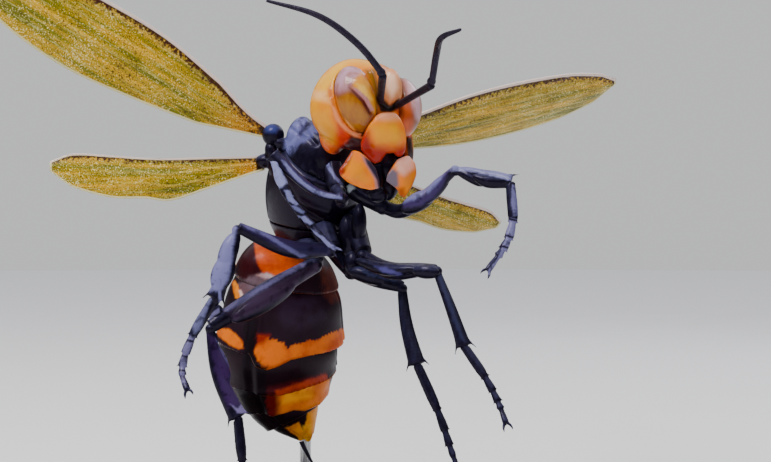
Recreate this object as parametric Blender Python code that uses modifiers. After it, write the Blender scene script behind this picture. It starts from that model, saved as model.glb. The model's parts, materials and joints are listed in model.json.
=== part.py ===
"""Giant hornet display figure, hand painted, about three times life size, held up by a plain stand.

The figure hangs in flight: head at the top, belly towards -Y and a little to +X, wings spread, legs dangling.
Solids are modelled in millimetres and scaled to metres when an object is finished. +Z is up.
The origin is the centre of the stand's underside. Left and right are the animal's own.
"""

import math

import bmesh
import bpy
import numpy as np
from mathutils import Matrix, Vector

MM = 0.001
GAP = 0.3

# Stand: a flat base and one bent rod that reaches the back of the thorax.
BASE_LENGTH = 130.0
BASE_WIDTH = 104.0
BASE_HEIGHT = 7.0
BASE_CORNER = 14.0
ROD_RADIUS = 2.0
ROD_X = -1.0
ROD_Y = 45.0
ROD_BEND_Z = 88.0
ROD_TOP = (1.0, 8.0, 112.0)

# Thorax: an egg parted into four plates. Its axes are the animal's right, belly and front.
THORAX_CENTRE = Vector((4.6, -0.8, 113.6))
THORAX_FRONT = Vector((0.20, -0.36, 0.91)).normalized()
BELLY_YAW = math.radians(35.0)
THORAX_HALF_WIDTH = 15.0
THORAX_HALF_DEPTH = 16.5
THORAX_HALF_LENGTH = 23.0
PRONOTUM_FROM = 11.5
PROPODEUM_FROM = -11.5
MESONOTUM_FROM = 5.0

# Head: an ellipsoid that faces -Y, then is nodded, rolled and turned towards +X.
# Head coordinates: x to the animal's left, -y out of the face, z to the crown.
HEAD_CENTRE = Vector((20.8, -22.0, 137.4))
HEAD_YAW = math.radians(40.0)
HEAD_NOD = math.radians(-4.0)
HEAD_ROLL = math.radians(6.0)
HEAD_HALVES = Vector((17.0, 12.4, 15.6))
EYE_CENTRE = Vector((10.2, -8.7, 0.3))
EYE_HALVES = Vector((6.0, 4.4, 9.8))
EYE_TURN = math.radians(42.0)
EYE_BEND = 0.020
EYE_LEAN = 0.18
CLYPEUS_CENTRE = Vector((0.2, -8.6, -11.0))
CLYPEUS_HALVES = Vector((7.2, 5.4, 8.4))
CLYPEUS_TAPER = 0.42
CLYPEUS_NOTCH = 1.6

# Abdomen: the spine from waist to tip, one row for each joint between segments, with oval half sizes.
ABDOMEN_SPINE = (
    (0.4, 10.5, 96.0, 4.4, 4.2),
    (-4.8, 13.5, 84.6, 17.8, 15.0),
    (-7.4, 17.5, 64.6, 22.0, 18.8),
    (-7.8, 20.5, 53.0, 19.6, 17.0),
    (-6.4, 22.0, 44.4, 15.0, 13.4),
    (-3.4, 22.5, 37.8, 10.2, 9.4),
    (1.0, 22.0, 30.0, 2.8, 2.6),
)
SEGMENTS = 6
SPINE_STEPS = 4
SEGMENT_OVERHANG = 0.7
STING_POINTS = ((-2.6, 21.5, 32.4), (0.2, 20.0, 26.6), (4.4, 18.5, 19.4))
STING_RADIUS = 1.0

NECK_ROWS = ((7.0, -7.0, 131.0, 5.2, 5.2), (17.0, -14.0, 137.4, 5.2, 5.2))
SCAPE_SIZES = (1.1, 1.25, 1.45)
FLAGELLUM_SIZES = (1.15, 1.2, 1.05, 0.55)

# Wings: root, tip and the way the chord runs from the leading edge to the trailing edge.
TEGULA_CENTRES = {"right": (-8.0, -7.2, 130.4), "left": (18.4, 7.0, 131.2)}
TEGULA_RADIUS = 3.7
MEMBRANE_THICKNESS = 0.6
VEIN_THICKNESS = 1.5
WING_CAMBER = 3.0
FOREWING_PROFILE = (
    (0.00, -1.8, 1.8),
    (0.09, -2.8, 5.2),
    (0.20, -6.0, 9.4),
    (0.40, -9.0, 13.2),
    (0.60, -8.6, 15.8),
    (0.80, -6.4, 14.4),
    (0.93, -3.4, 9.6),
    (1.00, 0.6, 3.4),
)
HINDWING_PROFILE = (
    (0.00, -1.4, 1.4),
    (0.12, -1.2, 4.6),
    (0.30, -1.0, 9.4),
    (0.50, -0.6, 12.0),
    (0.72, -1.6, 11.0),
    (0.90, -2.0, 7.4),
    (1.00, 0.6, 3.2),
)
FOREWING_VEINS = (0.0, 0.22, 0.50, 0.78)
HINDWING_VEINS = (0.0, 0.34, 0.68)
WINGS = {
    "forewing_right": ((-9.6, -7.0, 131.0), (-96.7, -35.0, 184.6), (-0.53, 0.0, -0.85)),
    "forewing_left": ((18.6, 6.0, 129.8), (109.2, 46.0, 153.9), (0.10, 0.79, -0.60)),
    "hindwing_right": ((-11.0, -4.6, 122.8), (-77.0, -14.0, 121.9), (0.0, -0.1, -1.0)),
    "hindwing_left": ((17.2, 8.6, 122.4), (68.4, 42.0, 104.0), (-0.25, 0.62, -0.74)),
}

# Legs: coxa root and end, knee, ankle, then the way that the foot takes to its claws.
LEGS = {
    "foreleg_right": {
        "coxa": ((10.4, -11.4, 122.4), (12.8, -20.0, 112.6)),
        "femur": ((12.8, -20.0, 112.6), (14.6, -31.0, 109.0), (15.6, -41.5, 109.4)),
        "tibia": ((15.6, -41.5, 109.4), (6.0, -39.5, 112.0), (-5.6, -35.5, 122.6)),
        "foot": ((-5.6, -35.5, 122.6), (-2.2, -39.0, 112.4), (5.2, -42.5, 102.6), (13.2, -46.0, 94.6)),
        "sizes": (3.4, 2.6, 1.9, 1.8),
    },
    "foreleg_left": {
        "coxa": ((13.0, -8.0, 117.0), (26.4, -21.5, 107.6)),
        "femur": ((26.4, -21.5, 107.6), (34.0, -27.5, 106.2), (47.6, -39.0, 117.6)),
        "tibia": ((47.6, -39.0, 117.6), (55.0, -42.5, 118.0), (63.4, -46.0, 114.2)),
        "foot": ((63.4, -46.0, 114.2), (64.0, -49.0, 104.6), (62.0, -52.0, 97.0), (56.2, -56.0, 89.0)),
        "sizes": (3.6, 2.7, 1.9, 1.8),
    },
    "midleg_right": {
        "coxa": ((6.0, -6.0, 104.0), (11.4, -19.0, 94.6)),
        "femur": ((11.4, -19.0, 94.6), (-1.0, -28.0, 94.4), (-16.0, -34.0, 101.0)),
        "tibia": ((-16.0, -34.0, 101.0), (-18.4, -36.0, 91.0), (-22.4, -38.0, 80.4)),
        "foot": ((-22.4, -38.0, 80.4), (-28.6, -41.0, 69.4), (-31.2, -44.0, 60.0), (-29.0, -48.0, 54.4)),
        "sizes": (3.8, 3.0, 2.6, 1.8),
    },
    "midleg_left": {
        "coxa": ((16.0, -5.0, 105.5), (20.8, -18.5, 93.4)),
        "femur": ((20.8, -18.5, 93.4), (31.0, -28.5, 89.2), (42.5, -35.5, 88.6)),
        "tibia": ((42.5, -35.5, 88.6), (46.5, -39.0, 78.0), (50.4, -41.5, 66.6)),
        "foot": ((50.4, -41.5, 66.6), (56.6, -45.0, 57.4), (60.0, -48.0, 50.6), (61.8, -51.0, 45.4)),
        "sizes": (3.8, 3.0, 2.3, 1.7),
    },
    "hindleg_right": {
        "coxa": ((1.5, -2.0, 98.5), (6.0, -15.6, 89.6)),
        "femur": ((6.0, -15.6, 89.6), (-8.4, -26.0, 81.4), (-24.4, -33.0, 71.6)),
        "tibia": ((-24.4, -33.0, 71.6), (-22.0, -35.0, 58.0), (-15.8, -37.5, 45.4)),
        "foot": ((-15.8, -37.5, 45.4), (-14.2, -39.5, 32.0), (-13.0, -42.0, 22.6), (-11.0, -45.0, 17.0)),
        "sizes": (3.8, 3.7, 3.0, 1.8),
    },
    "hindleg_left": {
        "coxa": ((10.5, 2.0, 97.0), (16.8, -13.0, 87.6)),
        "femur": ((16.8, -13.0, 87.6), (25.0, -19.0, 85.4), (32.6, -24.0, 83.0)),
        "tibia": ((32.6, -24.0, 83.0), (33.9, -27.0, 71.6), (37.0, -30.0, 60.2)),
        "foot": ((37.0, -30.0, 60.2), (43.6, -33.0, 45.4), (46.6, -35.5, 36.4), (49.6, -39.0, 28.0)),
        "sizes": (3.8, 3.2, 2.8, 1.8),
    },
}
FOOT_SHARES = (0.0, 0.42, 0.60, 0.73, 0.83, 1.0)
SPINED_JOINTS = 3
LEVEL_TIBIA_DROP = 15.0
TOWARDS_VIEW = Vector((0.0, -1.0, 0.0))
CLAW_LENGTH = 2.6
SPUR_LENGTH = 4.0
SPINE_LENGTH = 1.7

COLOURS = {
    "orange_paint": ((0.90, 0.33, 0.01), 0.30),
    "eye_paint": ((0.36, 0.13, 0.02), 0.12),
    "dark_violet_paint": ((0.020, 0.016, 0.035), 0.38),
    "dark_brown_paint": ((0.035, 0.010, 0.014), 0.40),
    "amber_membrane": ((0.42, 0.26, 0.02), 0.35),
    "stand_steel": ((0.55, 0.55, 0.56), 0.30),
    "stand_black": ((0.02, 0.02, 0.02), 0.35),
}


def clear_scene():
    for obj in list(bpy.data.objects):
        bpy.data.objects.remove(obj)


def paint(name):
    """The named Principled BSDF material, made on first use."""
    found = bpy.data.materials.get(name)
    if found:
        return found
    colour, roughness = COLOURS[name]
    made = bpy.data.materials.new(name)
    made.use_nodes = True
    shader = made.node_tree.nodes["Principled BSDF"]
    shader.inputs["Base Color"].default_value = (*colour, 1.0)
    shader.inputs["Roughness"].default_value = roughness
    shader.inputs["Metallic"].default_value = 1.0 if name == "stand_steel" else 0.0
    return made


def finished(name, solid, material, collection, smooth=True):
    """Turns a millimetre solid into a named object in metres."""
    mesh = bpy.data.meshes.new(name)
    copy = solid.copy()
    bmesh.ops.scale(copy, vec=(MM, MM, MM), verts=copy.verts)
    bmesh.ops.recalc_face_normals(copy, faces=copy.faces)
    copy.to_mesh(mesh)
    copy.free()
    if smooth:
        mesh.shade_smooth()
        mesh.set_sharp_from_angle(angle=math.radians(40))
    obj = bpy.data.objects.new(name, mesh)
    obj.data.materials.append(paint(material))
    collection.objects.link(obj)
    return obj


def temporary(solid, collection):
    mesh = bpy.data.meshes.new("temporary")
    solid.to_mesh(mesh)
    obj = bpy.data.objects.new("temporary", mesh)
    obj.hide_render = True
    obj.display_type = "WIRE"
    collection.objects.link(obj)
    return obj


def largest_body(solid):
    """Removes all but the biggest closed surface of a solid."""
    left = set(solid.verts)
    bodies = []
    while left:
        body = {left.pop()}
        edge = set(body)
        while edge:
            edge = {e.other_vert(v) for v in edge for e in v.link_edges} - body
            body |= edge
        left -= body
        bodies.append(body)
    bodies.sort(key=lambda body: sum(f.calc_area() for v in body for f in v.link_faces))
    loose = [v for body in bodies[:-1] for v in body]
    bmesh.ops.delete(solid, geom=loose, context="VERTS")
    return solid


def boolean(solid, others, operation):
    """The solid after one Boolean with a collection of other closed solids."""
    helpers = bpy.data.collections.new("helpers")
    bpy.context.scene.collection.children.link(helpers)
    base = temporary(solid, bpy.context.scene.collection)
    for other in others:
        temporary(other, helpers)
    modifier = base.modifiers.new("boolean", "BOOLEAN")
    modifier.operation = operation
    modifier.operand_type = "COLLECTION"
    modifier.collection = helpers
    graph = bpy.context.evaluated_depsgraph_get()
    mesh = bpy.data.meshes.new_from_object(base.evaluated_get(graph))
    for obj in [base, *helpers.objects]:
        bpy.data.meshes.remove(obj.data)
    bpy.data.collections.remove(helpers)
    result = bmesh.new()
    result.from_mesh(mesh)
    bpy.data.meshes.remove(mesh)
    return largest_body(result)


def grown(solid, by=GAP):
    """A copy that is larger all round, to cut a neighbour clear."""
    copy = solid.copy()
    copy.normal_update()
    moves = [(v, v.normal * by * v.calc_shell_factor()) for v in copy.verts]
    for vert, move in moves:
        vert.co += move
    return copy


def fused(solids):
    return boolean(solids[0], solids[1:], "UNION")


def cut_clear(solid, neighbours):
    """Cuts a solid by each neighbour's plain form, so that they meet with the working gap."""
    for neighbour in neighbours:
        solid = boolean(solid, [grown(neighbour)], "DIFFERENCE")
    return solid


def smooth_rows(rows, steps):
    """Rows of numbers read along a smooth curve through the given rows."""
    rows = np.array(rows, float)
    padded = np.vstack([2 * rows[0] - rows[1], rows, 2 * rows[-1] - rows[-2]])
    read = []
    for k in range(len(rows) - 1):
        a, b, c, d = padded[k : k + 4]
        for t in np.arange(steps) / steps:
            cubic = (3 * b - a - 3 * c + d) * t**3 + (2 * a - 5 * b + 4 * c - d) * t**2
            read.append(0.5 * (2 * b + (c - a) * t + cubic))
    read.append(rows[-1])
    return read


def oval_ring(solid, centre, side, up, sides):
    """Adds one ring of vertices, where side and up are the oval's half axes."""
    angles = [math.tau * k / sides for k in range(sides)]
    return [solid.verts.new(centre + side * math.cos(a) + up * math.sin(a)) for a in angles]


def close_end(solid, ring, tip):
    point = solid.verts.new(tip)
    for k, vert in enumerate(ring):
        solid.faces.new((vert, ring[(k + 1) % len(ring)], point))


def directions(points):
    """The way a smooth line runs at each of its points."""
    last = len(points) - 1
    return [(points[min(k + 1, last)] - points[max(k - 1, 0)]).normalized() for k in range(last + 1)]


def loft(rows, broad, sides=8, dome=0.4, ways=None):
    """A closed limb through rows of x, y, z, half breadth and half depth. broad is the breadth's direction."""
    solid = bmesh.new()
    points = [Vector(row[:3]) for row in rows]
    rings = []
    for row, point, along in zip(rows, points, ways or directions(points)):
        depth = along.cross(broad).normalized()
        side = depth.cross(along)
        rings.append(oval_ring(solid, point, side * row[3], depth * row[4], sides))
    for near, far in zip(rings, rings[1:]):
        for k in range(sides):
            after = (k + 1) % sides
            solid.faces.new((near[k], near[after], far[after], far[k]))
    start = (points[0] - points[1]).normalized() * dome * min(rows[0][3:5])
    end = (points[-1] - points[-2]).normalized() * dome * min(rows[-1][3:5])
    close_end(solid, rings[0], points[0] + start)
    close_end(solid, rings[-1], points[-1] + end)
    bmesh.ops.recalc_face_normals(solid, faces=solid.faces)
    return solid


def limb(points, sizes, broad, steps=3, sides=8, flat=1.0):
    """A loft whose round size changes along the points. flat is the share of breadth kept as depth."""
    rows = [(*point, size, size * flat) for point, size in zip(points, sizes)]
    return loft(smooth_rows(rows, steps), Vector(broad), sides)


def spike(base, tip, radius, sides=5):
    """A slim cone whose base is sunk in what it grows from."""
    base = Vector(base)
    along = Vector(tip) - base
    place = Matrix.Translation(base + along / 2) @ along.to_track_quat("Z", "Y").to_matrix().to_4x4()
    solid = bmesh.new()
    bmesh.ops.create_cone(
        solid, cap_ends=True, segments=sides, radius1=radius, radius2=0.12, depth=along.length, matrix=place
    )
    return solid


def sliced(solid, point, normal):
    """The part of a solid on the far side of a plane from its normal, closed again."""
    copy = solid.copy()
    geometry = [*copy.verts, *copy.edges, *copy.faces]
    cut = bmesh.ops.bisect_plane(copy, geom=geometry, plane_co=point, plane_no=normal, clear_outer=True)
    rim = [item for item in cut["geom_cut"] if isinstance(item, bmesh.types.BMEdge)]
    bmesh.ops.edgeloop_fill(copy, edges=rim)
    return copy


def thorax_axes():
    """The animal's right, belly and front directions at the thorax, as matrix columns."""
    belly = Vector((math.sin(BELLY_YAW), -math.cos(BELLY_YAW), 0.0))
    belly = (belly - THORAX_FRONT * belly.dot(THORAX_FRONT)).normalized()
    right = belly.cross(THORAX_FRONT)
    return Matrix((right, belly, THORAX_FRONT)).transposed()


def bump(where, centre, width):
    return math.exp(-((where - centre).length_squared) / width**2)


def thorax_whole():
    """The egg of the thorax, with broad shoulders and a waist in front of them."""
    axes = thorax_axes()
    halves = Vector((THORAX_HALF_WIDTH, THORAX_HALF_DEPTH, THORAX_HALF_LENGTH))
    solid = ball(28, 18)
    for vert in solid.verts:
        way = vert.co.copy()
        swell = 1.0 - 0.10 * math.exp(-(((way.z - 0.52) / 0.12) ** 2))
        swell += 0.06 * bump(way, Vector((0.85, -0.1, 0.3)), 0.5)
        swell += 0.06 * bump(way, Vector((-0.85, -0.1, 0.3)), 0.5)
        swell += 0.05 * bump(way, Vector((0.0, -1.0, 0.0)), 0.5)
        vert.co = THORAX_CENTRE + axes @ (stretched(way, halves) * swell)
    return solid


def thorax_plates():
    """Parts the thorax with thin cuts into collar, back, sides with breast, and rear."""
    belly, front = thorax_axes().col[1:3]
    whole = thorax_whole()
    collar_cut = (front + belly * 0.28).normalized()
    rear_cut = (front - belly * 0.22).normalized()
    back_cut = (belly + front * 0.10).normalized()
    collar_at = THORAX_CENTRE + front * PRONOTUM_FROM
    rear_at = THORAX_CENTRE + front * PROPODEUM_FROM
    back_at = THORAX_CENTRE - belly * MESONOTUM_FROM
    half = GAP / 2
    collar = sliced(whole, collar_at + collar_cut * half, -collar_cut)
    rear = sliced(whole, rear_at - rear_cut * half, rear_cut)
    middle = sliced(whole, collar_at - collar_cut * half, collar_cut)
    middle = sliced(middle, rear_at + rear_cut * half, -rear_cut)
    back = sliced(middle, back_at - back_cut * half, back_cut)
    breast = sliced(middle, back_at + back_cut * half, -back_cut)
    return {"pronotum": collar, "mesonotum": back, "mesothorax": breast, "propodeum": rear}


def head_turn():
    """Turns head coordinates to the world's."""
    yaw = Matrix.Rotation(HEAD_YAW, 3, "Z")
    roll = Matrix.Rotation(HEAD_ROLL, 3, "Y")
    nod = Matrix.Rotation(HEAD_NOD, 3, "X")
    return yaw @ roll @ nod


def on_head(x, y, z):
    """A place given in head coordinates, in the world."""
    return HEAD_CENTRE + head_turn() @ Vector((x, y, z))


def stretched(way, halves):
    return Vector(value * half for value, half in zip(way, halves))


def ball(around, rows):
    solid = bmesh.new()
    bmesh.ops.create_uvsphere(solid, u_segments=around, v_segments=rows, radius=1.0)
    return solid


def head_swell(way):
    """How far the head's surface stands out in a direction, as a share of the plain ellipsoid."""
    swell = 1.0
    for side in (-1, 1):
        swell += 0.10 * bump(way, Vector((0.80 * side, 0.15, -0.25)), 0.55)
        swell += 0.05 * bump(way, Vector((0.25 * side, -0.80, -0.55)), 0.30)
    swell += 0.10 * bump(way, Vector((0.0, -0.92, 0.38)), 0.30)
    swell -= 0.09 * bump(way, Vector((0.0, -1.0, -0.02)), 0.20)
    swell -= 0.05 * bump(way, Vector((0.0, -0.3, 1.0)), 0.35)
    swell -= 0.16 * bump(way, Vector((0.0, 0.2, -1.0)), 0.60)
    return swell


def head_core():
    solid = ball(34, 20)
    for vert in solid.verts:
        vert.co = on_head(*stretched(vert.co, HEAD_HALVES) * head_swell(vert.co))
    return solid


def eye_ball(side):
    """A tall bean, its ends bent towards the back of the head. side is 1 on the animal's left."""
    turn = Matrix.Rotation(side * EYE_TURN, 3, "Z")
    centre = Vector((side * EYE_CENTRE.x, EYE_CENTRE.y, EYE_CENTRE.z))
    solid = ball(16, 12)
    for vert in solid.verts:
        bean = stretched(vert.co, EYE_HALVES)
        bean.y += EYE_BEND * bean.z**2
        bean.x += side * EYE_LEAN * bean.z
        vert.co = on_head(*centre + turn @ bean)
    return solid


def clypeus_shield():
    """A domed shield on the lower face, narrow at the top and notched at the bottom."""
    solid = ball(14, 10)
    for vert in solid.verts:
        way = vert.co
        notch = CLYPEUS_NOTCH * math.exp(-((way.x / 0.28) ** 2)) * max(0.0, -way.z)
        shield = stretched(way, CLYPEUS_HALVES)
        shield.x *= 1.0 - CLYPEUS_TAPER * way.z
        shield.z += notch
        vert.co = on_head(*CLYPEUS_CENTRE + shield)
    return solid


def jaw(side):
    """A broad jaw that runs from the cheek to the midline."""
    rows = (
        (side * 9.4, -8.6, -15.8, 2.6, 1.8),
        (side * 8.4, -10.0, -18.8, 4.5, 2.6),
        (side * 6.2, -11.0, -22.6, 4.2, 2.4),
        (side * 3.2, -11.4, -26.0, 2.2, 1.5),
    )
    placed = [(*on_head(*row[:3]), row[3], row[4]) for row in rows]
    return loft(smooth_rows(placed, 2), head_turn() @ Vector((1.0, 0.0, 0.35 * side)), sides=10)


def jaw_teeth(side):
    """Two blunt teeth on the inner edge."""
    upper = spike(on_head(side * 4.4, -11.2, -22.6), on_head(side * 1.3, -11.2, -23.6), 1.3)
    lower = spike(on_head(side * 4.0, -11.4, -24.6), on_head(side * 1.7, -11.4, -27.2), 1.3)
    return [upper, lower]


def mouth():
    """The tongue with a feeler on each side, behind the jaws."""
    across = (1.0, 0.0, 0.0)
    tongue = [on_head(0.0, -3.5, -12.0), on_head(0.0, -5.0, -19.5), on_head(0.0, -6.5, -26.0)]
    parts = [limb(tongue, (4.3, 4.5, 3.0), across, steps=2)]
    for side in (-1, 1):
        feeler = [on_head(side * 1.6, -4.6, -17.0), on_head(side * 4.2, -6.0, -23.5), on_head(side * 3.4, -7.0, -27.5)]
        parts.append(limb(feeler, (0.9, 0.7, 0.5), across, steps=2, sides=5))
    return fused(parts)


def head_group():
    """The head's named pieces, each with its plain form for cutting its neighbours."""
    core = head_core()
    shield = clypeus_shield()
    eyes = {side: eye_ball(way) for side, way in (("right", -1), ("left", 1))}
    pieces = {
        "head": cut_clear(core, [*eyes.values(), shield]),
        "clypeus": cut_clear(shield, eyes.values()),
        "eye_right": eyes["right"],
        "eye_left": eyes["left"],
    }
    plain = [core, shield]
    tongue = cut_clear(mouth(), plain)
    for side, way in (("right", -1), ("left", 1)):
        pieces[f"mandible_{side}"] = cut_clear(fused([jaw(way), *jaw_teeth(way)]), plain)
        tongue = cut_clear(tongue, [jaw(way)])
    pieces["mouthparts"] = tongue
    for side, (scape, flagellum) in antenna_routes().items():
        middle = (Vector(scape[0]) + Vector(scape[1])) / 2
        stem = limb([scape[0], middle, scape[1]], SCAPE_SIZES, (1, 0, 0), steps=2, sides=7)
        whip = limb(flagellum, FLAGELLUM_SIZES, (0, 0.3, 1), steps=4, sides=7)
        pieces[f"antenna_scape_{side}"] = cut_clear(stem, [core, shield])
        pieces[f"antenna_flagellum_{side}"] = cut_clear(whip, [stem])
    return pieces, core


def antenna_routes():
    """For each side, the scape's ends and the points that the flagellum passes through."""
    return {
        "left": (
            (on_head(3.3, -9.6, -0.8), (41.0, -43.6, 142.2)),
            ((41.1, -43.9, 143.4), (42.2, -50.0, 151.0), (43.3, -57.0, 154.0), (48.4, -62.0, 155.4)),
        ),
        "right": (
            (on_head(-1.7, -10.0, -0.8), (26.8, -46.6, 144.6)),
            ((26.4, -46.8, 145.6), (19.6, -49.0, 153.4), (8.6, -50.0, 161.2), (-6.4, -48.0, 165.8)),
        ),
    }


def abdomen_group(thorax):
    """Six ring segments along the bent spine, each with a rear rim that overhangs the next, and the sting."""
    across = Vector((math.cos(BELLY_YAW), math.sin(BELLY_YAW), 0.0))
    spine = smooth_rows(ABDOMEN_SPINE, SPINE_STEPS)
    for k in range(SPINE_STEPS):
        share = 1.0 - k / SPINE_STEPS
        spine[k][3:5] = np.maximum(spine[0][3:5], spine[SPINE_STEPS][3:5] * math.sqrt(1.0 - share**2.2))
    ways = directions([Vector(row[:3]) for row in spine])
    pieces = {}
    for number in range(SEGMENTS):
        span = slice(SPINE_STEPS * number, SPINE_STEPS * (number + 1) + 1)
        rows = [np.array(row) for row in spine[span]]
        if number > 0:
            rows[0][:3] += np.array(ways[span][0]) * GAP / 2
            rows[0][3:5] -= SEGMENT_OVERHANG
        if number < SEGMENTS - 1:
            rows[-1][:3] -= np.array(ways[span][-1]) * GAP / 2
            rows[-1][3:5] += SEGMENT_OVERHANG
        pieces[f"abdomen_segment_{number + 1}"] = loft(rows, across, sides=24, dome=0.0, ways=ways[span])
    pieces["abdomen_segment_1"] = cut_clear(pieces["abdomen_segment_1"], [thorax])
    sting = limb(STING_POINTS, (STING_RADIUS, STING_RADIUS * 0.8, 0.3), (1, 0, 0), sides=6)
    pieces["sting"] = cut_clear(sting, [pieces[f"abdomen_segment_{SEGMENTS}"]])
    return pieces


def leg_plain(leg):
    """The plain coxa, femur and tibia of one leg."""
    hip, thigh, shin = leg["sizes"][:3]
    drop = abs(leg["tibia"][0][2] - leg["tibia"][-1][2])
    broad = (1.0, 0.3, 0.2) if drop > LEVEL_TIBIA_DROP else (0.3, 0.2, 1.0)
    coxa = limb(leg["coxa"], (hip * 1.25, hip * 0.8), broad)
    femur = limb(leg["femur"], (thigh * 0.72, thigh, thigh * 0.62), (0.2, 0.3, 1.0), flat=0.8)
    tibia = limb(leg["tibia"], (shin * 0.55, shin * 0.8, shin), broad, flat=0.72)
    return coxa, femur, tibia


def spurs(leg):
    """Two spurs beside the end of the tibia."""
    end = Vector(leg["tibia"][-1])
    along = (end - Vector(leg["tibia"][-2])).normalized()
    side = along.cross(TOWARDS_VIEW).normalized()
    made = []
    for way in (-1, 1):
        base = end - along * 1.8 + side * way * leg["sizes"][2] * 0.6
        tip = end + along * SPUR_LENGTH * 0.5 + side * way * (leg["sizes"][2] + 1.2)
        made.append(spike(base, tip, 0.6, sides=4))
    return made


def foot_reader(points):
    """A function that gives the place at a share of the foot's length."""
    path = smooth_rows(points, 8)
    steps = [float(np.linalg.norm(far - near)) for near, far in zip(path, path[1:])]
    lengths = [0.0, *np.cumsum(steps)]

    def at(share):
        return Vector(np.interp(share * lengths[-1], lengths, [point[axis] for point in path]) for axis in range(3))

    return at


def foot_solid(leg):
    """Five foot joints, each flared at its end, with spines on the first three and a pair of claws."""
    at = foot_reader(leg["foot"])
    size = leg["sizes"][3]
    rows = []
    for joint, (start, end) in enumerate(zip(FOOT_SHARES, FOOT_SHARES[1:])):
        width = size * (1.0 - 0.07 * joint)
        neck = width * (0.62 if joint else 0.85)
        rows.append((*at(start + 0.01), neck, neck * 0.8))
        rows.append((*at(start + (end - start) * 0.82), width, width * 0.8))
        rows.append((*at(end - 0.01), width * 0.7, width * 0.6))
    parts = [loft(rows, Vector((1.0, 0.25, 0.1)), sides=6)]
    for joint in range(SPINED_JOINTS):
        parts += foot_spines(at, FOOT_SHARES[joint + 1], size)
    return fused([*parts, *claws(at)])


def foot_spines(at, share, size):
    end = at(share - 0.03)
    along = (at(share) - at(share - 0.06)).normalized()
    side = along.cross(TOWARDS_VIEW).normalized()
    made = []
    for way in (-1, 1):
        base = end + side * way * size * 0.35
        tip = base + (along * 0.8 + side * way * 0.7).normalized() * SPINE_LENGTH
        made.append(spike(base, tip, 0.42, sides=4))
    return made


def claws(at):
    end = at(1.0)
    along = (end - at(0.93)).normalized()
    side = along.cross(TOWARDS_VIEW).normalized()
    made = []
    for way in (-1, 1):
        elbow = end + (along * 0.36 + side * way * 0.48) * CLAW_LENGTH
        tip = elbow + (along * 0.5 + TOWARDS_VIEW * 0.25) * CLAW_LENGTH
        made.append(limb([at(0.975), elbow, tip], (0.65, 0.5, 0.25), (1, 0.3, 0.1), steps=1, sides=4))
    return made


def leg_group(thorax):
    """All six legs, each piece cut clear of the one before it."""
    pieces = {}
    coxae = []
    for name, leg in LEGS.items():
        coxa, femur, tibia = leg_plain(leg)
        pieces[f"{name}_coxa"] = cut_clear(coxa, [thorax, *coxae])
        pieces[f"{name}_femur"] = cut_clear(femur, [coxa])
        pieces[f"{name}_tibia"] = cut_clear(fused([tibia, *spurs(leg)]), [femur])
        pieces[f"{name}_foot"] = cut_clear(foot_solid(leg), [tibia, *spurs(leg)])
        coxae.append(coxa)
    return pieces


def across_shares(veins):
    """Shares of the chord where the wing grid has lines: each vein's crest and foot, and the trailing edge."""
    shares = []
    for vein in veins:
        shares += [vein, vein + 0.05] if vein == 0 else [vein - 0.05, vein, vein + 0.05]
    return [*shares, 1.0]


def wing_sheet(name):
    """The wing's middle surface as a grid, and the numbers of the vertices on its veins."""
    root, tip, chord = (Vector(value) for value in WINGS[name])
    fore = name.startswith("fore")
    profile = smooth_rows(FOREWING_PROFILE if fore else HINDWING_PROFILE, 2)
    veins = FOREWING_VEINS if fore else HINDWING_VEINS
    shares = across_shares(veins)
    span = tip - root
    chord = (chord - span * chord.dot(span) / span.length_squared).normalized()
    normal = span.cross(chord).normalized()
    normal *= -math.copysign(1.0, normal.y)
    sheet = bmesh.new()
    rows, columns = len(profile) - 1, len(shares) - 1
    bmesh.ops.create_grid(sheet, x_segments=rows, y_segments=columns, size=0.5)
    crests = []
    for vert in sheet.verts:
        along, lead, trail = profile[round((vert.co.x + 0.5) * rows)]
        share = shares[round((vert.co.y + 0.5) * columns)]
        camber = WING_CAMBER * math.sin(math.pi * share) * along * (1.3 - along)
        vert.co = root + span * along + chord * (lead + (trail - lead) * share) + normal * camber
        if share in veins:
            crests.append(vert.index)
    bmesh.ops.triangulate(sheet, faces=sheet.faces, quad_method="FIXED")
    return sheet, crests


def wing(name):
    """The sheet made solid, thicker along its veins."""
    sheet, crests = wing_sheet(name)
    base = temporary(sheet, bpy.context.scene.collection)
    group = base.vertex_groups.new(name="thickness")
    group.add(range(len(base.data.vertices)), MEMBRANE_THICKNESS / VEIN_THICKNESS, "REPLACE")
    group.add(crests, 1.0, "REPLACE")
    shell = base.modifiers.new("membrane", "SOLIDIFY")
    shell.thickness = VEIN_THICKNESS
    shell.offset = 0.0
    shell.vertex_group = group.name
    graph = bpy.context.evaluated_depsgraph_get()
    mesh = bpy.data.meshes.new_from_object(base.evaluated_get(graph))
    bpy.data.meshes.remove(base.data)
    solid = bmesh.new()
    solid.from_mesh(mesh)
    bpy.data.meshes.remove(mesh)
    bmesh.ops.recalc_face_normals(solid, faces=solid.faces)
    return solid


def wing_group(thorax):
    """Four wings and the round scale over each forewing's root."""
    pieces = {}
    scales = {side: ball(14, 10) for side in TEGULA_CENTRES}
    for side, scale in scales.items():
        for vert in scale.verts:
            vert.co = Vector(TEGULA_CENTRES[side]) + vert.co * TEGULA_RADIUS
        pieces[f"tegula_{side}"] = cut_clear(scale, [thorax])
    for name in WINGS:
        pieces[name] = cut_clear(wing(name), [thorax, scales[name.split("_")[1]]])
    return pieces


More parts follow.
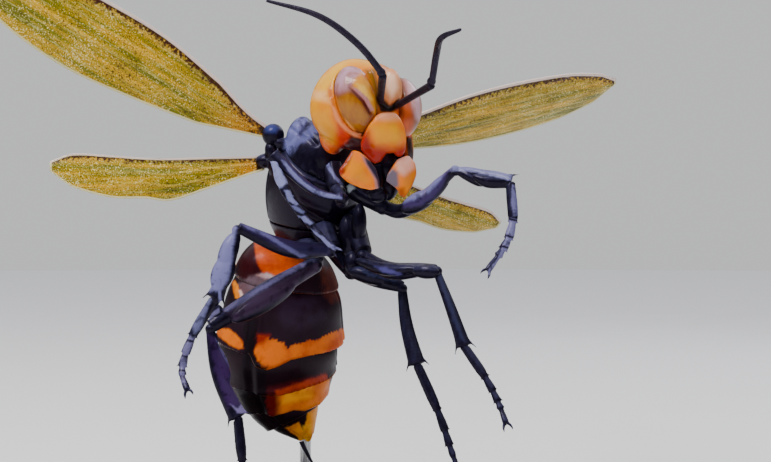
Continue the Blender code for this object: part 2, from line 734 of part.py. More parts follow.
def stand_base(collection):
    """A flat slab with rounded corners, from a plane that is bevelled and made thick."""
    bpy.ops.mesh.primitive_plane_add(size=1.0)
    slab = bpy.context.object
    slab.name = slab.data.name = "stand_base"
    slab.dimensions = (BASE_LENGTH * MM, BASE_WIDTH * MM, 0.0)
    bpy.ops.object.transform_apply(location=False, rotation=False, scale=True)
    corners = slab.modifiers.new("corners", "BEVEL")
    corners.affect = "VERTICES"
    corners.width = BASE_CORNER * MM
    corners.segments = 6
    thick = slab.modifiers.new("thickness", "SOLIDIFY")
    thick.thickness = BASE_HEIGHT * MM
    thick.offset = 1.0
    slab.data.materials.append(paint("stand_black"))
    for owner in list(slab.users_collection):
        owner.objects.unlink(slab)
    collection.objects.link(slab)


def stand_rod(neighbours):
    """A rod that rises behind the abdomen and bends forward to the thorax."""
    points = (
        (ROD_X, ROD_Y, BASE_HEIGHT + GAP),
        (ROD_X, ROD_Y, ROD_BEND_Z / 2),
        (ROD_X, ROD_Y, ROD_BEND_Z),
        (ROD_X, ROD_Y - 10.0, ROD_BEND_Z + 18.0),
        ROD_TOP,
    )
    rows = smooth_rows([(*point, ROD_RADIUS, ROD_RADIUS) for point in points], 2)
    return cut_clear(loft(rows, Vector((1, 0, 0)), sides=10, dome=0.0), neighbours)


def paint_name(name):
    """Which paint a piece wears."""
    if name.startswith("eye"):
        return "eye_paint"
    if "wing" in name:
        return "amber_membrane"
    if name in ("head", "clypeus", "mandible_left", "mandible_right"):
        return "orange_paint"
    if name in ("abdomen_segment_2", "abdomen_segment_3", "abdomen_segment_5", "sting"):
        return "dark_brown_paint"
    if name.startswith("abdomen"):
        return "orange_paint"
    return "stand_steel" if name == "stand_rod" else "dark_violet_paint"


def build():
    clear_scene()
    figure = bpy.data.collections.new("giant_hornet_figure")
    bpy.context.scene.collection.children.link(figure)
    thorax = thorax_whole()
    pieces, head = head_group()
    pieces.update(thorax_plates())
    pieces["neck"] = cut_clear(loft(smooth_rows(NECK_ROWS, 2), Vector((0, 1, 0)), sides=10), [thorax, head])
    pieces.update(abdomen_group(thorax))
    pieces.update(leg_group(thorax))
    pieces.update(wing_group(thorax))
    pieces["stand_rod"] = stand_rod([thorax])
    for name, solid in pieces.items():
        finished(name, solid, paint_name(name), figure)
    stand_base(figure)


build()
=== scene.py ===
"""Looks of the giant hornet figure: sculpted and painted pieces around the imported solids.

Tables give lengths in millimetres, and places in the photograph as pixels of its 771 x 462 frame.
Meshes are in metres. Left and right are the animal's own.
"""

import json
import math

import bpy
import numpy as np
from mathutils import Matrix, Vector
from mathutils.bvhtree import BVHTree

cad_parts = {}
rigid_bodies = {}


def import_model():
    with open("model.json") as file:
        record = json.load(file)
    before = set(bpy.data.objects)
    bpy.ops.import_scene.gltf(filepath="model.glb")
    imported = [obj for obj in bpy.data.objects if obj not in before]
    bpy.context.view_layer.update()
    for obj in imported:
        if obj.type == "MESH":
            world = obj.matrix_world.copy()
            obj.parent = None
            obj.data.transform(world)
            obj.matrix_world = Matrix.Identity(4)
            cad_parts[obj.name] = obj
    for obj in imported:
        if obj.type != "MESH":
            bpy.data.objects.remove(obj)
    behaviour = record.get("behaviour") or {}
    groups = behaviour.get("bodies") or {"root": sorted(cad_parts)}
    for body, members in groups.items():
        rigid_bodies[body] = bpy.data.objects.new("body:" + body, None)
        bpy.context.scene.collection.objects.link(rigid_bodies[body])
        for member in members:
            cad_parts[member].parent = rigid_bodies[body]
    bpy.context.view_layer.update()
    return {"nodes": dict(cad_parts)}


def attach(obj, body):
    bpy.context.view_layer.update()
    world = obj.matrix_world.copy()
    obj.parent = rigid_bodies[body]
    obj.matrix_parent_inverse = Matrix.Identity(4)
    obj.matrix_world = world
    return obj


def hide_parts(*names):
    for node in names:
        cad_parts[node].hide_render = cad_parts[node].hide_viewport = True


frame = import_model()

bl_info = {
    "name": "Giant hornet figure",
    "version": (1, 0, 0),
    "blender": (4, 5, 0),
    "location": "3D View > Sidebar > Hornet",
    "description": "Sculpts and paints a giant hornet display figure around its packed solids",
    "category": "Add Mesh",
}

MM = 0.001
TINY = 1e-16

# The photograph's frame and the camera that gives it, its place in metres.
PHOTO_WIDTH = 771
PHOTO_HEIGHT = 462
CAMERA_PLACE = Vector((0.0276, -0.420, 0.100))
LENS_MM = 60.8
SENSOR_MM = 36.0
FOCAL_PIXELS = LENS_MM / SENSOR_MM * PHOTO_WIDTH

# How a solid's loose triangles are merged: in millimetres, then in degrees.
MERGE_WITHIN = 0.002
FLAT_WITHIN = 30
SQUARE_WITHIN = 60
# Edges over this many degrees stay crisp. A limb's solid has few sides, so its edges turn more sharply.
BODY_SHARP = 42.0
LIMB_SHARP = 64.0
# Rounds of smoothing for legs, antennae and mouthparts.
LIMB_ROUNDS = 4
# Where two solids meet: all places whose gap is at most this much over the smallest.
JOINT_REACH = 0.9
BALL_MESH = {"segments": 24, "ring_count": 16}
LUMP_MESH = {"segments": 32, "ring_count": 20}

# The wobble of brushed edges: wavelengths in millimetres and the ways they run.
RIPPLES = ((3.9, (1, 2, 3)), (2.6, (-3, 1, 2)), (1.7, (2, -3, 1)), (1.2, (3, 2, -1)), (0.9, (-1, 3, 3)))
RIPPLE_PHASE = 9.0
RIPPLE_SIZE = 3.0
# A painted area fades where its surface turns away from the camera.
FACING_GAIN = 4.0
FACING_START = 0.3
# Painted light from above on the violet pieces: the way it comes from, the slope it starts at, and how it
# grows from there.
PAINTED_LIGHT_WAY = (-0.22, -0.30, 0.93)
PAINTED_LIGHT_START = 0.30
PAINTED_LIGHT_RAGGED = 0.10
PAINTED_LIGHT_REACH = 0.75
PAINTED_LIGHT_CURVE = 1.4
PAINTED_LIGHT_MOST = 0.7


def light(hexadecimal):
    """An sRGB hex colour as linear light, with alpha."""
    shares = [int(hexadecimal[k:k + 2], 16) / 255 for k in (1, 3, 5)]
    return (*[s / 12.92 if s <= 0.04045 else ((s + 0.055) / 1.055) ** 2.4 for s in shares], 1.0)


def length_setting(name, description, default):
    """A size that a user may change."""
    return bpy.props.FloatProperty(name=name, description=description, default=default, unit="LENGTH")


def paint_setting(name, description, colour):
    """A paint that a user may change."""
    return bpy.props.FloatVectorProperty(
        name=name, description=description, size=4, subtype="COLOR", default=light(colour))


class HornetSizes(bpy.types.PropertyGroup):
    """Sizes that a user may change."""

    body_grain: length_setting("Body grain", "Distance between the points of a body piece", 0.36 * MM)
    head_grain: length_setting("Head grain", "Distance between the points of a head piece", 0.30 * MM)
    leg_grain: length_setting("Leg grain", "Distance between the points of a leg piece", 0.24 * MM)
    wing_grain: length_setting("Wing grain", "Distance between the points of a wing", 0.42 * MM)
    film: length_setting("Wing film", "Thickness of the wing between its veins", 0.6 * MM)
    floor_width: length_setting("Floor width", "Width of the floor", 6.0)


class HornetColours(bpy.types.PropertyGroup):
    """Paints that a user may change."""

    orange: paint_setting("Orange", "Head and face paint", "#EE7E00")
    eye: paint_setting("Eye", "Amber-brown eye paint", "#7A3A06")
    violet: paint_setting("Violet black", "Thorax and leg paint", "#0D0914")
    # Painted light from above: the lavender laid on the upper sides of thorax and legs.
    painted_top_light: paint_setting("Pearl lavender", "Mist over the upper sides of thorax and legs", "#3C3C5C")
    umber: paint_setting("Dark brown", "Abdomen's ground paint", "#1A0810")
    band: paint_setting("Band orange", "Abdomen's bands", "#EA7E00")
    amber: paint_setting("Amber", "Wing film", "#B08E00")


def sizes():
    return bpy.context.scene.hornet_sizes


def colours():
    return bpy.context.scene.hornet_colours


# Selection and copies

def deselect():
    bpy.ops.object.select_all(action="DESELECT")


def choose(piece, *others):
    """Selects these pieces only, and makes the first one active."""
    deselect()
    for chosen in (piece, *others):
        chosen.select_set(True)
    bpy.context.view_layer.objects.active = piece


def copy_of(node, name, sharp):
    """A merged copy of a solid, free of its body, with its edges over a sharp angle kept crisp."""
    choose(frame["nodes"][node])
    bpy.ops.object.duplicate()
    piece = bpy.context.object
    bpy.ops.object.parent_clear(type="CLEAR_KEEP_TRANSFORM")
    bpy.ops.object.transform_apply(location=True, rotation=True, scale=True)
    piece.name = piece.data.name = name
    bpy.ops.object.mode_set(mode="EDIT")
    bpy.ops.mesh.select_all(action="SELECT")
    bpy.ops.mesh.remove_doubles(threshold=MERGE_WITHIN * MM)
    bpy.ops.mesh.tris_convert_to_quads(
        face_threshold=math.radians(FLAT_WITHIN), shape_threshold=math.radians(SQUARE_WITHIN))
    bpy.ops.mesh.select_mode(type="EDGE")
    bpy.ops.mesh.select_all(action="DESELECT")
    bpy.ops.mesh.edges_select_sharp(sharpness=math.radians(sharp))
    bpy.ops.transform.edge_crease(value=1.0)
    bpy.ops.mesh.select_mode(type="VERT")
    bpy.ops.object.mode_set(mode="OBJECT")
    piece.data.materials.clear()
    return piece


def apply_modifier(piece, name, kind, **settings):
    """Adds a modifier with its settings and applies it."""
    choose(piece)
    added = piece.modifiers.new(name, kind)
    for key, value in settings.items():
        setattr(added, key, value)
    bpy.ops.object.modifier_apply(modifier=added.name)


def melt(piece, grain, rounds):
    """Gives a piece one even skin, its points a grain apart, and smooths it by some rounds."""
    apply_modifier(piece, "skin", "REMESH", mode="VOXEL", voxel_size=grain)
    apply_modifier(piece, "settle", "SMOOTH", factor=0.5, iterations=rounds)


def dressed(node, grain, rounds, sharp=BODY_SHARP, extras=()):
    """A refined copy of a solid, with extra forms melted into it."""
    piece = copy_of(node, f"{node}_skin", sharp)
    apply_modifier(piece, "round", "SUBSURF", levels=2, render_levels=2)
    if extras:
        choose(piece, *extras)
        bpy.ops.object.join()
    melt(piece, grain, rounds)
    return piece


def ball(place, radius, stretch=(1.0, 1.0, 1.0), turn=(0.0, 0.0, 0.0), mesh=BALL_MESH):
    """A ball to melt into a piece: its radius in millimetres, its stretch, and its turn in degrees."""
    deselect()
    bpy.ops.mesh.primitive_uv_sphere_add(
        radius=radius * MM, location=place, scale=stretch,
        rotation=[math.radians(angle) for angle in turn], **mesh)
    bpy.ops.object.transform_apply(location=True, rotation=True, scale=True)
    return bpy.context.object


def joint_between(first, second):
    """The middle of the gap where two neighbouring solids meet."""
    tree = tree_of(frame["nodes"][first])
    gaps = []
    for vert in frame["nodes"][second].data.vertices:
        found = tree.find_nearest(vert.co)
        gaps.append((found[3], (vert.co + found[0]) / 2))
    gaps.sort(key=lambda gap: gap[0])
    near = [place for gap, place in gaps if gap < gaps[0][0] + JOINT_REACH * MM]
    return sum(near, Vector()) / len(near)


def settle(piece, key, node):
    """Shades a finished piece, gives it its material and puts it in place of its solid."""
    choose(piece)
    bpy.ops.object.shade_smooth()
    piece.data.materials.append(material(key))
    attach(piece, "root")
    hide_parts(node)


# Points, normals and attributes as arrays

def vertex_rows(piece, key):
    """A row of three numbers for each vertex: its place by "co", or its normal by "normal"."""
    flat = np.empty(len(piece.data.vertices) * 3, np.float32)
    piece.data.vertices.foreach_get(key, flat)
    return flat.reshape(-1, 3).astype(np.float64)


def points_of(piece):
    return vertex_rows(piece, "co")


def normals_of(piece):
    return vertex_rows(piece, "normal")


def put_points(piece, points):
    piece.data.vertices.foreach_set("co", points.astype(np.float32).ravel())
    piece.data.update()


def put_attribute(piece, name, values, kind="FLOAT", key="value"):
    """Stores values by vertex, for a material to read."""
    made = piece.data.attributes.new(name, kind, "POINT")
    made.data.foreach_set(key, np.asarray(values, np.float32).ravel())


def tree_of(piece):
    corners = [vert.co for vert in piece.data.vertices]
    return BVHTree.FromPolygons(corners, [list(face.vertices) for face in piece.data.polygons])


# Sculpting by lines seen in the photograph

def sight(px, py):
    """The way from the camera through a pixel of the photograph."""
    return Vector((px - PHOTO_WIDTH / 2, FOCAL_PIXELS, PHOTO_HEIGHT / 2 - py)).normalized()


def seen_at(points):
    """The pixels of the photograph where points are seen."""
    away = points[:, 1] - CAMERA_PLACE.y
    return np.column_stack([PHOTO_WIDTH / 2 + FOCAL_PIXELS * (points[:, 0] - CAMERA_PLACE.x) / away,
                            PHOTO_HEIGHT / 2 - FOCAL_PIXELS * (points[:, 2] - CAMERA_PLACE.z) / away])


def on_sight(px, py, depth):
    """The place on a pixel's line of sight at a depth, its y in millimetres."""
    way = sight(px, py)
    return CAMERA_PLACE + way * ((depth * MM - CAMERA_PLACE.y) / way.y)


def lump(px, py, depth, radii, turn=(0.0, 0.0, 0.0)):
    """An egg-shaped ball, placed by a pixel and a depth, its radii in millimetres."""
    return ball(on_sight(px, py, depth), 1.0, radii, turn, LUMP_MESH)


def lumps(forms):
    return [lump(*form) for form in forms]


def line_on(piece, pixels, steps=6):
    """A line drawn in the photograph, laid on the piece's nearest surface."""
    tree = tree_of(piece)
    laid = []
    for near, far in zip(pixels, pixels[1:]):
        for step in range(steps + (far is pixels[-1])):
            share = step / steps
            px = near[0] + (far[0] - near[0]) * share
            py = near[1] + (far[1] - near[1]) * share
            found = tree.ray_cast(CAMERA_PLACE, sight(px, py))
            if found[0] is not None:
                laid.append(found[0])
    return np.array(laid)


def distance_to_line(points, line):
    """Distance from each point to a polyline."""
    best = np.full(len(points), np.inf)
    for near, far in zip(line, line[1:]):
        along = far - near
        share = np.clip((points - near) @ along / max(along @ along, TINY), 0.0, 1.0)
        best = np.minimum(best, np.linalg.norm(points - near - share[:, None] * along, axis=1))
    return best


def fade(distance, width):
    """A share that is 1 at no distance and falls off softly past a width."""
    return np.exp(-((distance / width) ** 2))


def press(piece, pixels, width, depth):
    """Presses a soft groove along a seen line. A negative depth raises a ridge."""
    line = line_on(piece, pixels)
    if len(line) < 2:
        raise RuntimeError(f"{piece.name}: the line from {pixels[0]} misses it")
    points = points_of(piece)
    fall = fade(distance_to_line(points, line), width * MM)
    put_points(piece, points - normals_of(piece) * (fall * depth * MM)[:, None])


def press_all(piece, ridges):
    """Presses each of a table's grooves and ridges."""
    for pixels, width, depth in ridges:
        press(piece, pixels, width, depth)


def inflate(piece, height):
    """Moves the whole surface outwards."""
    put_points(piece, points_of(piece) + normals_of(piece) * (height * MM))


def swell(piece, px, py, radius, height):
    """Raises a soft mound round a seen place."""
    spot = line_on(piece, ((px, py), (px, py)), steps=1)
    if not len(spot):
        raise RuntimeError(f"{piece.name}: the place {px}, {py} misses it")
    points = points_of(piece)
    fall = fade(np.linalg.norm(points - spot[0], axis=1), radius * MM)
    put_points(piece, points + normals_of(piece) * (fall * height * MM)[:, None])


def sag(piece, px, width, drop):
    """Lowers the part seen round a column of pixels, softly to both sides."""
    points = points_of(piece)
    points[:, 2] -= drop * MM * fade(seen_at(points)[:, 0] - px, width)
    put_points(piece, points)


def plate(name, outline, through, facing, thickness, rounds):
    """A plate with a seen outline, cut on a plane through a place and made thick away from the camera."""
    normal = Vector(facing).normalized()
    place = Vector(through) * MM
    deselect()
    bpy.ops.mesh.primitive_circle_add(vertices=len(outline), radius=1.0, fill_type="NGON")
    piece = bpy.context.object
    piece.name = piece.data.name = name
    for vert, (px, py) in zip(piece.data.vertices, outline):
        way = sight(px, py)
        vert.co = CAMERA_PLACE + way * ((place - CAMERA_PLACE).dot(normal) / way.dot(normal))
    bpy.ops.object.mode_set(mode="EDIT")
    bpy.ops.mesh.select_all(action="SELECT")
    inwards = (place - CAMERA_PLACE).normalized()
    bpy.ops.mesh.extrude_region_move(TRANSFORM_OT_translate={"value": inwards * thickness * MM})
    bpy.ops.mesh.select_all(action="SELECT")
    bpy.ops.mesh.normals_make_consistent(inside=False)
    bpy.ops.object.mode_set(mode="OBJECT")
    melt(piece, sizes().head_grain, rounds)
    return piece


# Painting by areas seen in the photograph

def inside_by(places, outline):
    """Pixels from each seen place to a closed outline, positive inside it."""
    corners = np.array(outline, float)
    loop = np.vstack([corners, corners[:1]])
    away = distance_to_line(places, loop)
    crossed = np.zeros(len(places), bool)
    for (ax, ay), (bx, by) in zip(loop, loop[1:]):
        spans = (places[:, 1] < ay) != (places[:, 1] < by)
        reach = ax + (places[:, 1] - ay) * (bx - ax) / (by - ay if by != ay else 1.0)
        crossed ^= spans & (places[:, 0] < reach)
    return np.where(crossed, away, -away)


def towards_camera(piece):
    """How far each point of a piece faces the camera, from 0 at the rim to 1."""
    back = np.array(CAMERA_PLACE) - points_of(piece)
    back /= np.linalg.norm(back, axis=1)[:, None]
    return np.clip((normals_of(piece) * back).sum(axis=1) * FACING_GAIN + FACING_START, 0.0, 1.0)


def ripple(points):
    """An even wobble between about -1 and 1 over a few millimetres."""
    total = np.zeros(len(points))
    for wave, way in RIPPLES:
        along = points @ (np.array(way) / np.linalg.norm(way))
        total += np.sin(along * (2 * math.pi / (wave * MM)) + wave * RIPPLE_PHASE)
    return total / RIPPLE_SIZE


def coated(piece, ground, areas=()):
    """Brushes soft-edged areas over a ground, which is one colour or a colour for each point."""
    tints = np.array(ground, float)
    if tints.ndim == 1:
        tints = np.tile(tints[:3], (len(piece.data.vertices), 1))
    points = points_of(piece)
    places = seen_at(points)
    facing = towards_camera(piece)
    wobble = ripple(points)
    for outline, colour, soft, *rest in areas:
        ragged = rest[0] if rest else 0.0
        share = np.clip((inside_by(places, outline) + ragged * wobble) / (2.0 * soft) + 0.5, 0.0, 1.0)
        share = (share * share * (3.0 - 2.0 * share) * facing)[:, None]
        tints = tints * (1.0 - share) + np.array(light(colour))[:3] * share
    put_attribute(piece, "tint", np.column_stack([tints, np.ones(len(tints))]), "FLOAT_COLOR", "color")


def violet_with_painted_top_light(piece):
    """Violet black with painted light from above: lavender laid on the sides that face up."""
    slope = normals_of(piece) @ np.array(PAINTED_LIGHT_WAY)
    share = (slope - PAINTED_LIGHT_START + PAINTED_LIGHT_RAGGED * ripple(points_of(piece))) / PAINTED_LIGHT_REACH
    share = np.clip(share, 0.0, 1.0) ** PAINTED_LIGHT_CURVE * PAINTED_LIGHT_MOST
    dark, painted_top_light = np.array(colours().violet)[:3], np.array(colours().painted_top_light)[:3]
    return dark + share[:, None] * (painted_top_light - dark)


# Materials. A grain is the size in millimetres of a pattern's largest blots.

NOISE_ROUGHNESS = 0.55
STREAK_ROUGHNESS = 0.6


def join(tree, node, inputs):
    """Joins sockets to a node's inputs, and sets its other inputs to plain values."""
    for key, value in inputs.items():
        if isinstance(value, bpy.types.NodeSocket):
            tree.links.new(value, node.inputs[key])
        else:
            node.inputs[key].default_value = value


def add(tree, kind, inputs=None, **settings):
    """Adds a node with its settings and links."""
    made = tree.nodes.new("ShaderNode" + kind)
    for key, value in settings.items():
        setattr(made, key, value)
    join(tree, made, inputs or {})
    return made


def started(name, constants):
    """A new material and its shader, with the values that are the same all over it."""
    made = bpy.data.materials.new(name)
    made.use_nodes = True
    shader = made.node_tree.nodes["Principled BSDF"]
    join(made.node_tree, shader, constants)
    return made, made.node_tree, shader


def blots(tree, grain, detail=3.0, stretch=None):
    """A pattern of blots on object coordinates."""
    place = add(tree, "TexCoord").outputs["Object"]
    if stretch:
        place = add(tree, "Mapping", {"Vector": place, "Scale": stretch}).outputs["Vector"]
    return add(tree, "TexNoise", {"Vector": place, "Scale": 1.0 / (grain * MM), "Detail": detail,
                                  "Roughness": NOISE_ROUGHNESS}).outputs["Fac"]


def over(tree, under, paint, pattern, low, high, most=1.0, way="MIX", rise="SMOOTHSTEP"):
    """Lays a paint over another: none where the pattern is low, at most a share of it where it is high."""
    share = add(tree, "MapRange", {"Value": pattern, "From Min": low, "From Max": high, "To Min": 0.0,
                                   "To Max": most}, interpolation_type=rise).outputs["Result"]
    return add(tree, "Mix", {0: share, 6: under, 7: paint}, data_type="RGBA", blend_type=way).outputs[2]


def follow(tree, socket, pattern, low, high, at_low, at_high, rise="SMOOTHSTEP"):
    """Makes a shader's value follow a pattern, from one value where it is low to another where it is high."""
    graded = add(tree, "MapRange", {"Value": pattern, "From Min": low, "From Max": high, "To Min": at_low,
                                    "To Max": at_high}, interpolation_type=rise)
    tree.links.new(graded.outputs["Result"], socket)


def uneven(tree, value, grain, low, high, most):
    """A value that blots move up and down by at most this much."""
    moved = add(tree, "MapRange", {"Value": blots(tree, grain), "From Min": low, "From Max": high,
                                   "To Min": -most, "To Max": most}, interpolation_type="LINEAR")
    return add(tree, "Math", {0: value, 1: moved.outputs["Result"]}, operation="ADD").outputs["Value"]


def surface(tree, shader, paint, pattern, height):
    """Joins a paint, and a relief with a height in millimetres, to the shader."""
    relief = add(tree, "Bump", {"Height": pattern, "Distance": height * MM, "Strength": 1.0})
    join(tree, shader, {"Base Color": paint, "Normal": relief.outputs["Normal"]})


def head_resin():
    """Cast resin, its colours sprayed and brushed over one another, under a wet-looking clear lacquer."""
    made, tree, shader = started("lacquered_orange_resin", {
        "IOR": 1.5, "Coat Weight": 0.3, "Coat Roughness": 0.09, "Coat IOR": 1.45, "Specular IOR Level": 0.15})
    tint = add(tree, "Attribute", attribute_name="tint").outputs["Color"]
    sprayed = blots(tree, 6.0, 4.0)
    deeper = over(tree, tint, light("#F0A060"), sprayed, 0.42, 0.72, 0.35, "MULTIPLY")
    freckled = over(tree, deeper, light("#A84008"), blots(tree, 0.9), 0.62, 0.78, 0.16)
    surface(tree, shader, freckled, blots(tree, 1.4), 0.05)
    follow(tree, shader.inputs["Roughness"], sprayed, 0.2, 0.8, 0.34, 0.48)
    return made


def eye_resin():
    """Clear amber-brown resin over a painted ground, under a thick gloss coat; the lavender on its upper rim
    is a painted reflection, with the coat's own highlight on it.
    """
    made, tree, shader = started("gloss_coated_eye", {
        "IOR": 1.52, "Coat Weight": 0.4, "Coat Roughness": 0.14, "Roughness": 0.34,
        "Specular IOR Level": 0.2})
    tint = add(tree, "Attribute", attribute_name="tint").outputs["Color"]
    strokes = blots(tree, 2.2, 4.0, stretch=(1.0, 1.0, 0.35))
    ground = over(tree, tint, light("#D09850"), strokes, 0.35, 0.75, 0.7, "MULTIPLY")
    surface(tree, shader, ground, blots(tree, 1.0), 0.02)
    return made


def violet_resin():
    """Cast resin brushed blue-black, with violet-tinted gloss and painted lavender light, under a satin
    varnish that shows the brushwork.
    """
    made, tree, shader = started("satin_violet_black_resin", {
        "IOR": 1.5, "Specular IOR Level": 0.12, "Specular Tint": light("#B8A0FF"), "Coat Weight": 0.16,
        "Coat Roughness": 0.10, "Coat Tint": light("#D8CCFF")})
    tint = add(tree, "Attribute", attribute_name="tint").outputs["Color"]
    worn = over(tree, tint, light("#2E2638"), blots(tree, 1.6, 5.0), 0.58, 0.80, 0.5)
    deep = over(tree, worn, light("#08060C"), blots(tree, 3.2, 4.0), 0.46, 0.34, 0.6)
    surface(tree, shader, deep, blots(tree, 0.9, 4.0), 0.06)
    follow(tree, shader.inputs["Roughness"], blots(tree, 2.4), 0.25, 0.75, 0.30, 0.46)
    return made


def antenna_resin():
    """Flexible resin brushed black-brown, matt enough to show its rings."""
    made, tree, shader = started("matt_black_brown_resin", {
        "IOR": 1.48, "Specular IOR Level": 0.35, "Specular Tint": light("#D2C6FF")})
    ground = over(tree, light("#0E0910"), light("#1E1620"), blots(tree, 2.0), 0.3, 0.7)
    surface(tree, shader, ground, blots(tree, 0.7), 0.05)
    follow(tree, shader.inputs["Roughness"], blots(tree, 1.2), 0.3, 0.7, 0.42, 0.58)
    return made


def banded_resin():
    """Cast resin painted dark brown with bands brushed on in orange, under a satin varnish."""
    made, tree, shader = started("satin_banded_resin", {
        "IOR": 1.5, "Specular IOR Level": 0.1, "Specular Tint": light("#E8C8FF"), "Coat Weight": 0.08,
        "Coat Roughness": 0.16})
    tint = add(tree, "Attribute", attribute_name="tint").outputs["Color"]
    sprayed = blots(tree, 6.0, 4.0)
    deeper = over(tree, tint, light("#C06A50"), sprayed, 0.40, 0.70, 0.6, "MULTIPLY")
    worn = over(tree, deeper, light("#3A1C28"), blots(tree, 1.2, 4.0), 0.62, 0.78, 0.35)
    surface(tree, shader, worn, blots(tree, 1.1, 4.0), 0.06)
    follow(tree, shader.inputs["Roughness"], sprayed, 0.25, 0.75, 0.30, 0.44)
    return made


def wing_film():
    """Amber plastic film in lengthwise streaks, with glitter in it and brown paint on its front edge."""
    made, tree, shader = started("amber_glitter_film", {
        "IOR": 1.46, "Specular IOR Level": 0.2, "Coat Weight": 0.2, "Coat Roughness": 0.14,
        "Specular Tint": light("#FFF0C0")})
    lay = add(tree, "Attribute", attribute_name="lay").outputs["Vector"]
    root, vein, lead, rim = [add(tree, "Attribute", attribute_name=name).outputs["Fac"]
                             for name in ("root", "vein", "lead_mm", "rim_mm")]

    def streaked(across, along, detail):
        """Noise drawn out along the wing, its streaks this many millimetres wide and long."""
        place = add(tree, "Mapping", {"Vector": lay, "Scale": (1.0 / (along * MM), 1.0 / (across * MM), 1.0)})
        return add(tree, "TexNoise", {"Vector": place.outputs["Vector"], "Scale": 1.0, "Detail": detail,
                                      "Roughness": STREAK_ROUGHNESS}).outputs["Fac"]

    broad = streaked(2.6, 34.0, 2.0)
    fine = streaked(0.8, 12.0, 3.0)
    # The glitter is coarser than real glitter, so that it shows.
    glitter = blots(tree, 0.42, 2.0)
    dusty = uneven(tree, glitter, 9.0, 0.3, 0.7, 0.06)
    # Broad streaks over an olive ground, fine streaks, a warm root and veins, then glitter and pits.
    film = over(tree, light("#6A6A00"), tuple(colours().amber), broad, 0.36, 0.56)
    film = over(tree, film, light("#D2A000"), broad, 0.54, 0.66)
    film = over(tree, film, light("#CCC468"), fine, 0.56, 0.70, 0.75)
    film = over(tree, film, light("#5A400A"), fine, 0.44, 0.30, 0.6)
    film = over(tree, film, light("#C47C00"), root, 0.1, 0.75, 0.85)
    film = over(tree, film, light("#E2BC40"), vein, 0.0, 1.0, 0.35, rise="LINEAR")
    film = over(tree, film, light("#E8D890"), dusty, 0.58, 0.68)
    film = over(tree, film, light("#4A3808"), dusty, 0.42, 0.34)
    # Brown paint on the front edge and the root, then the pale cut rim.
    film = over(tree, film, light("#3A1A12"), uneven(tree, lead, 0.9, 0.25, 0.75, 2.2), 3.6, 1.4)
    film = over(tree, film, light("#2E1408"), uneven(tree, root, 2.0, 0.3, 0.7, 0.12), 0.80, 0.92)
    film = over(tree, film, light("#D2CA96"), rim, 0.85, 0.5)
    film = over(tree, film, light("#E4CFC6"), lead, 1.2, 0.8)
    relief = add(tree, "Math", {0: fine, 1: 1.4, 2: glitter}, operation="MULTIPLY_ADD").outputs["Value"]
    surface(tree, shader, film, relief, 0.22)
    follow(tree, shader.inputs["Transmission Weight"], fine, 0.58, 0.72, 0.0, 0.30)
    follow(tree, shader.inputs["Roughness"], glitter, 0.3, 0.7, 0.46, 0.22)
    return made


def stand_plastic():
    """Injection-moulded ABS with a fine matt grain."""
    made, tree, shader = started("matt_black_abs", {"IOR": 1.53})
    surface(tree, shader, light("#1A1A1C"), blots(tree, 0.5, 2.0), 0.03)
    follow(tree, shader.inputs["Roughness"], blots(tree, 4.0), 0.3, 0.7, 0.42, 0.55)
    return made


def rod_steel():
    """Drawn stainless steel rod, brushed along its length."""
    made, tree, shader = started("brushed_steel_rod", {"Metallic": 1.0})
    strokes = blots(tree, 0.5, 3.0, stretch=(1.0, 1.0, 0.04))
    surface(tree, shader, light("#A9AAAE"), strokes, 0.01)
    follow(tree, shader.inputs["Roughness"], strokes, 0.3, 0.7, 0.22, 0.38)
    return made


MAKERS = {
    "head": head_resin,
    "eye": eye_resin,
    "violet": violet_resin,
    "antenna": antenna_resin,
    "banded": banded_resin,
    "film": wing_film,
    "stand": stand_plastic,
    "rod": rod_steel,
}
MADE = {}


def material(key):
    """One of the materials, made when it is first asked for."""
    if key not in MADE:
        MADE[key] = MAKERS[key]()
    return MADE[key]


# The nearest and farthest that the camera sees, in metres.
CLIP_START = 0.01
CLIP_END = 50.0
FLOOR_SIDES = 96
LAMP_AIM = Vector((0.01, 0.0, 0.10))
# A lit ceiling, a soft box at the upper front left and a weak one behind on the right:
# place and side in metres, watts and colour.
LAMPS = (
    ((0.0, 0.0, 6.0), 20.0, 1300.0, "#F4F5FF"),
    ((-0.34, -0.46, 0.92), 0.42, 10.5, "#FFFBF2"),
    ((0.50, 0.55, 0.60), 0.40, 1.6, "#EEF2FF"),
)
# Strength of the pale room, as light and as seen.
ROOM_LIGHT = 0.12
ROOM_SEEN = 0.74


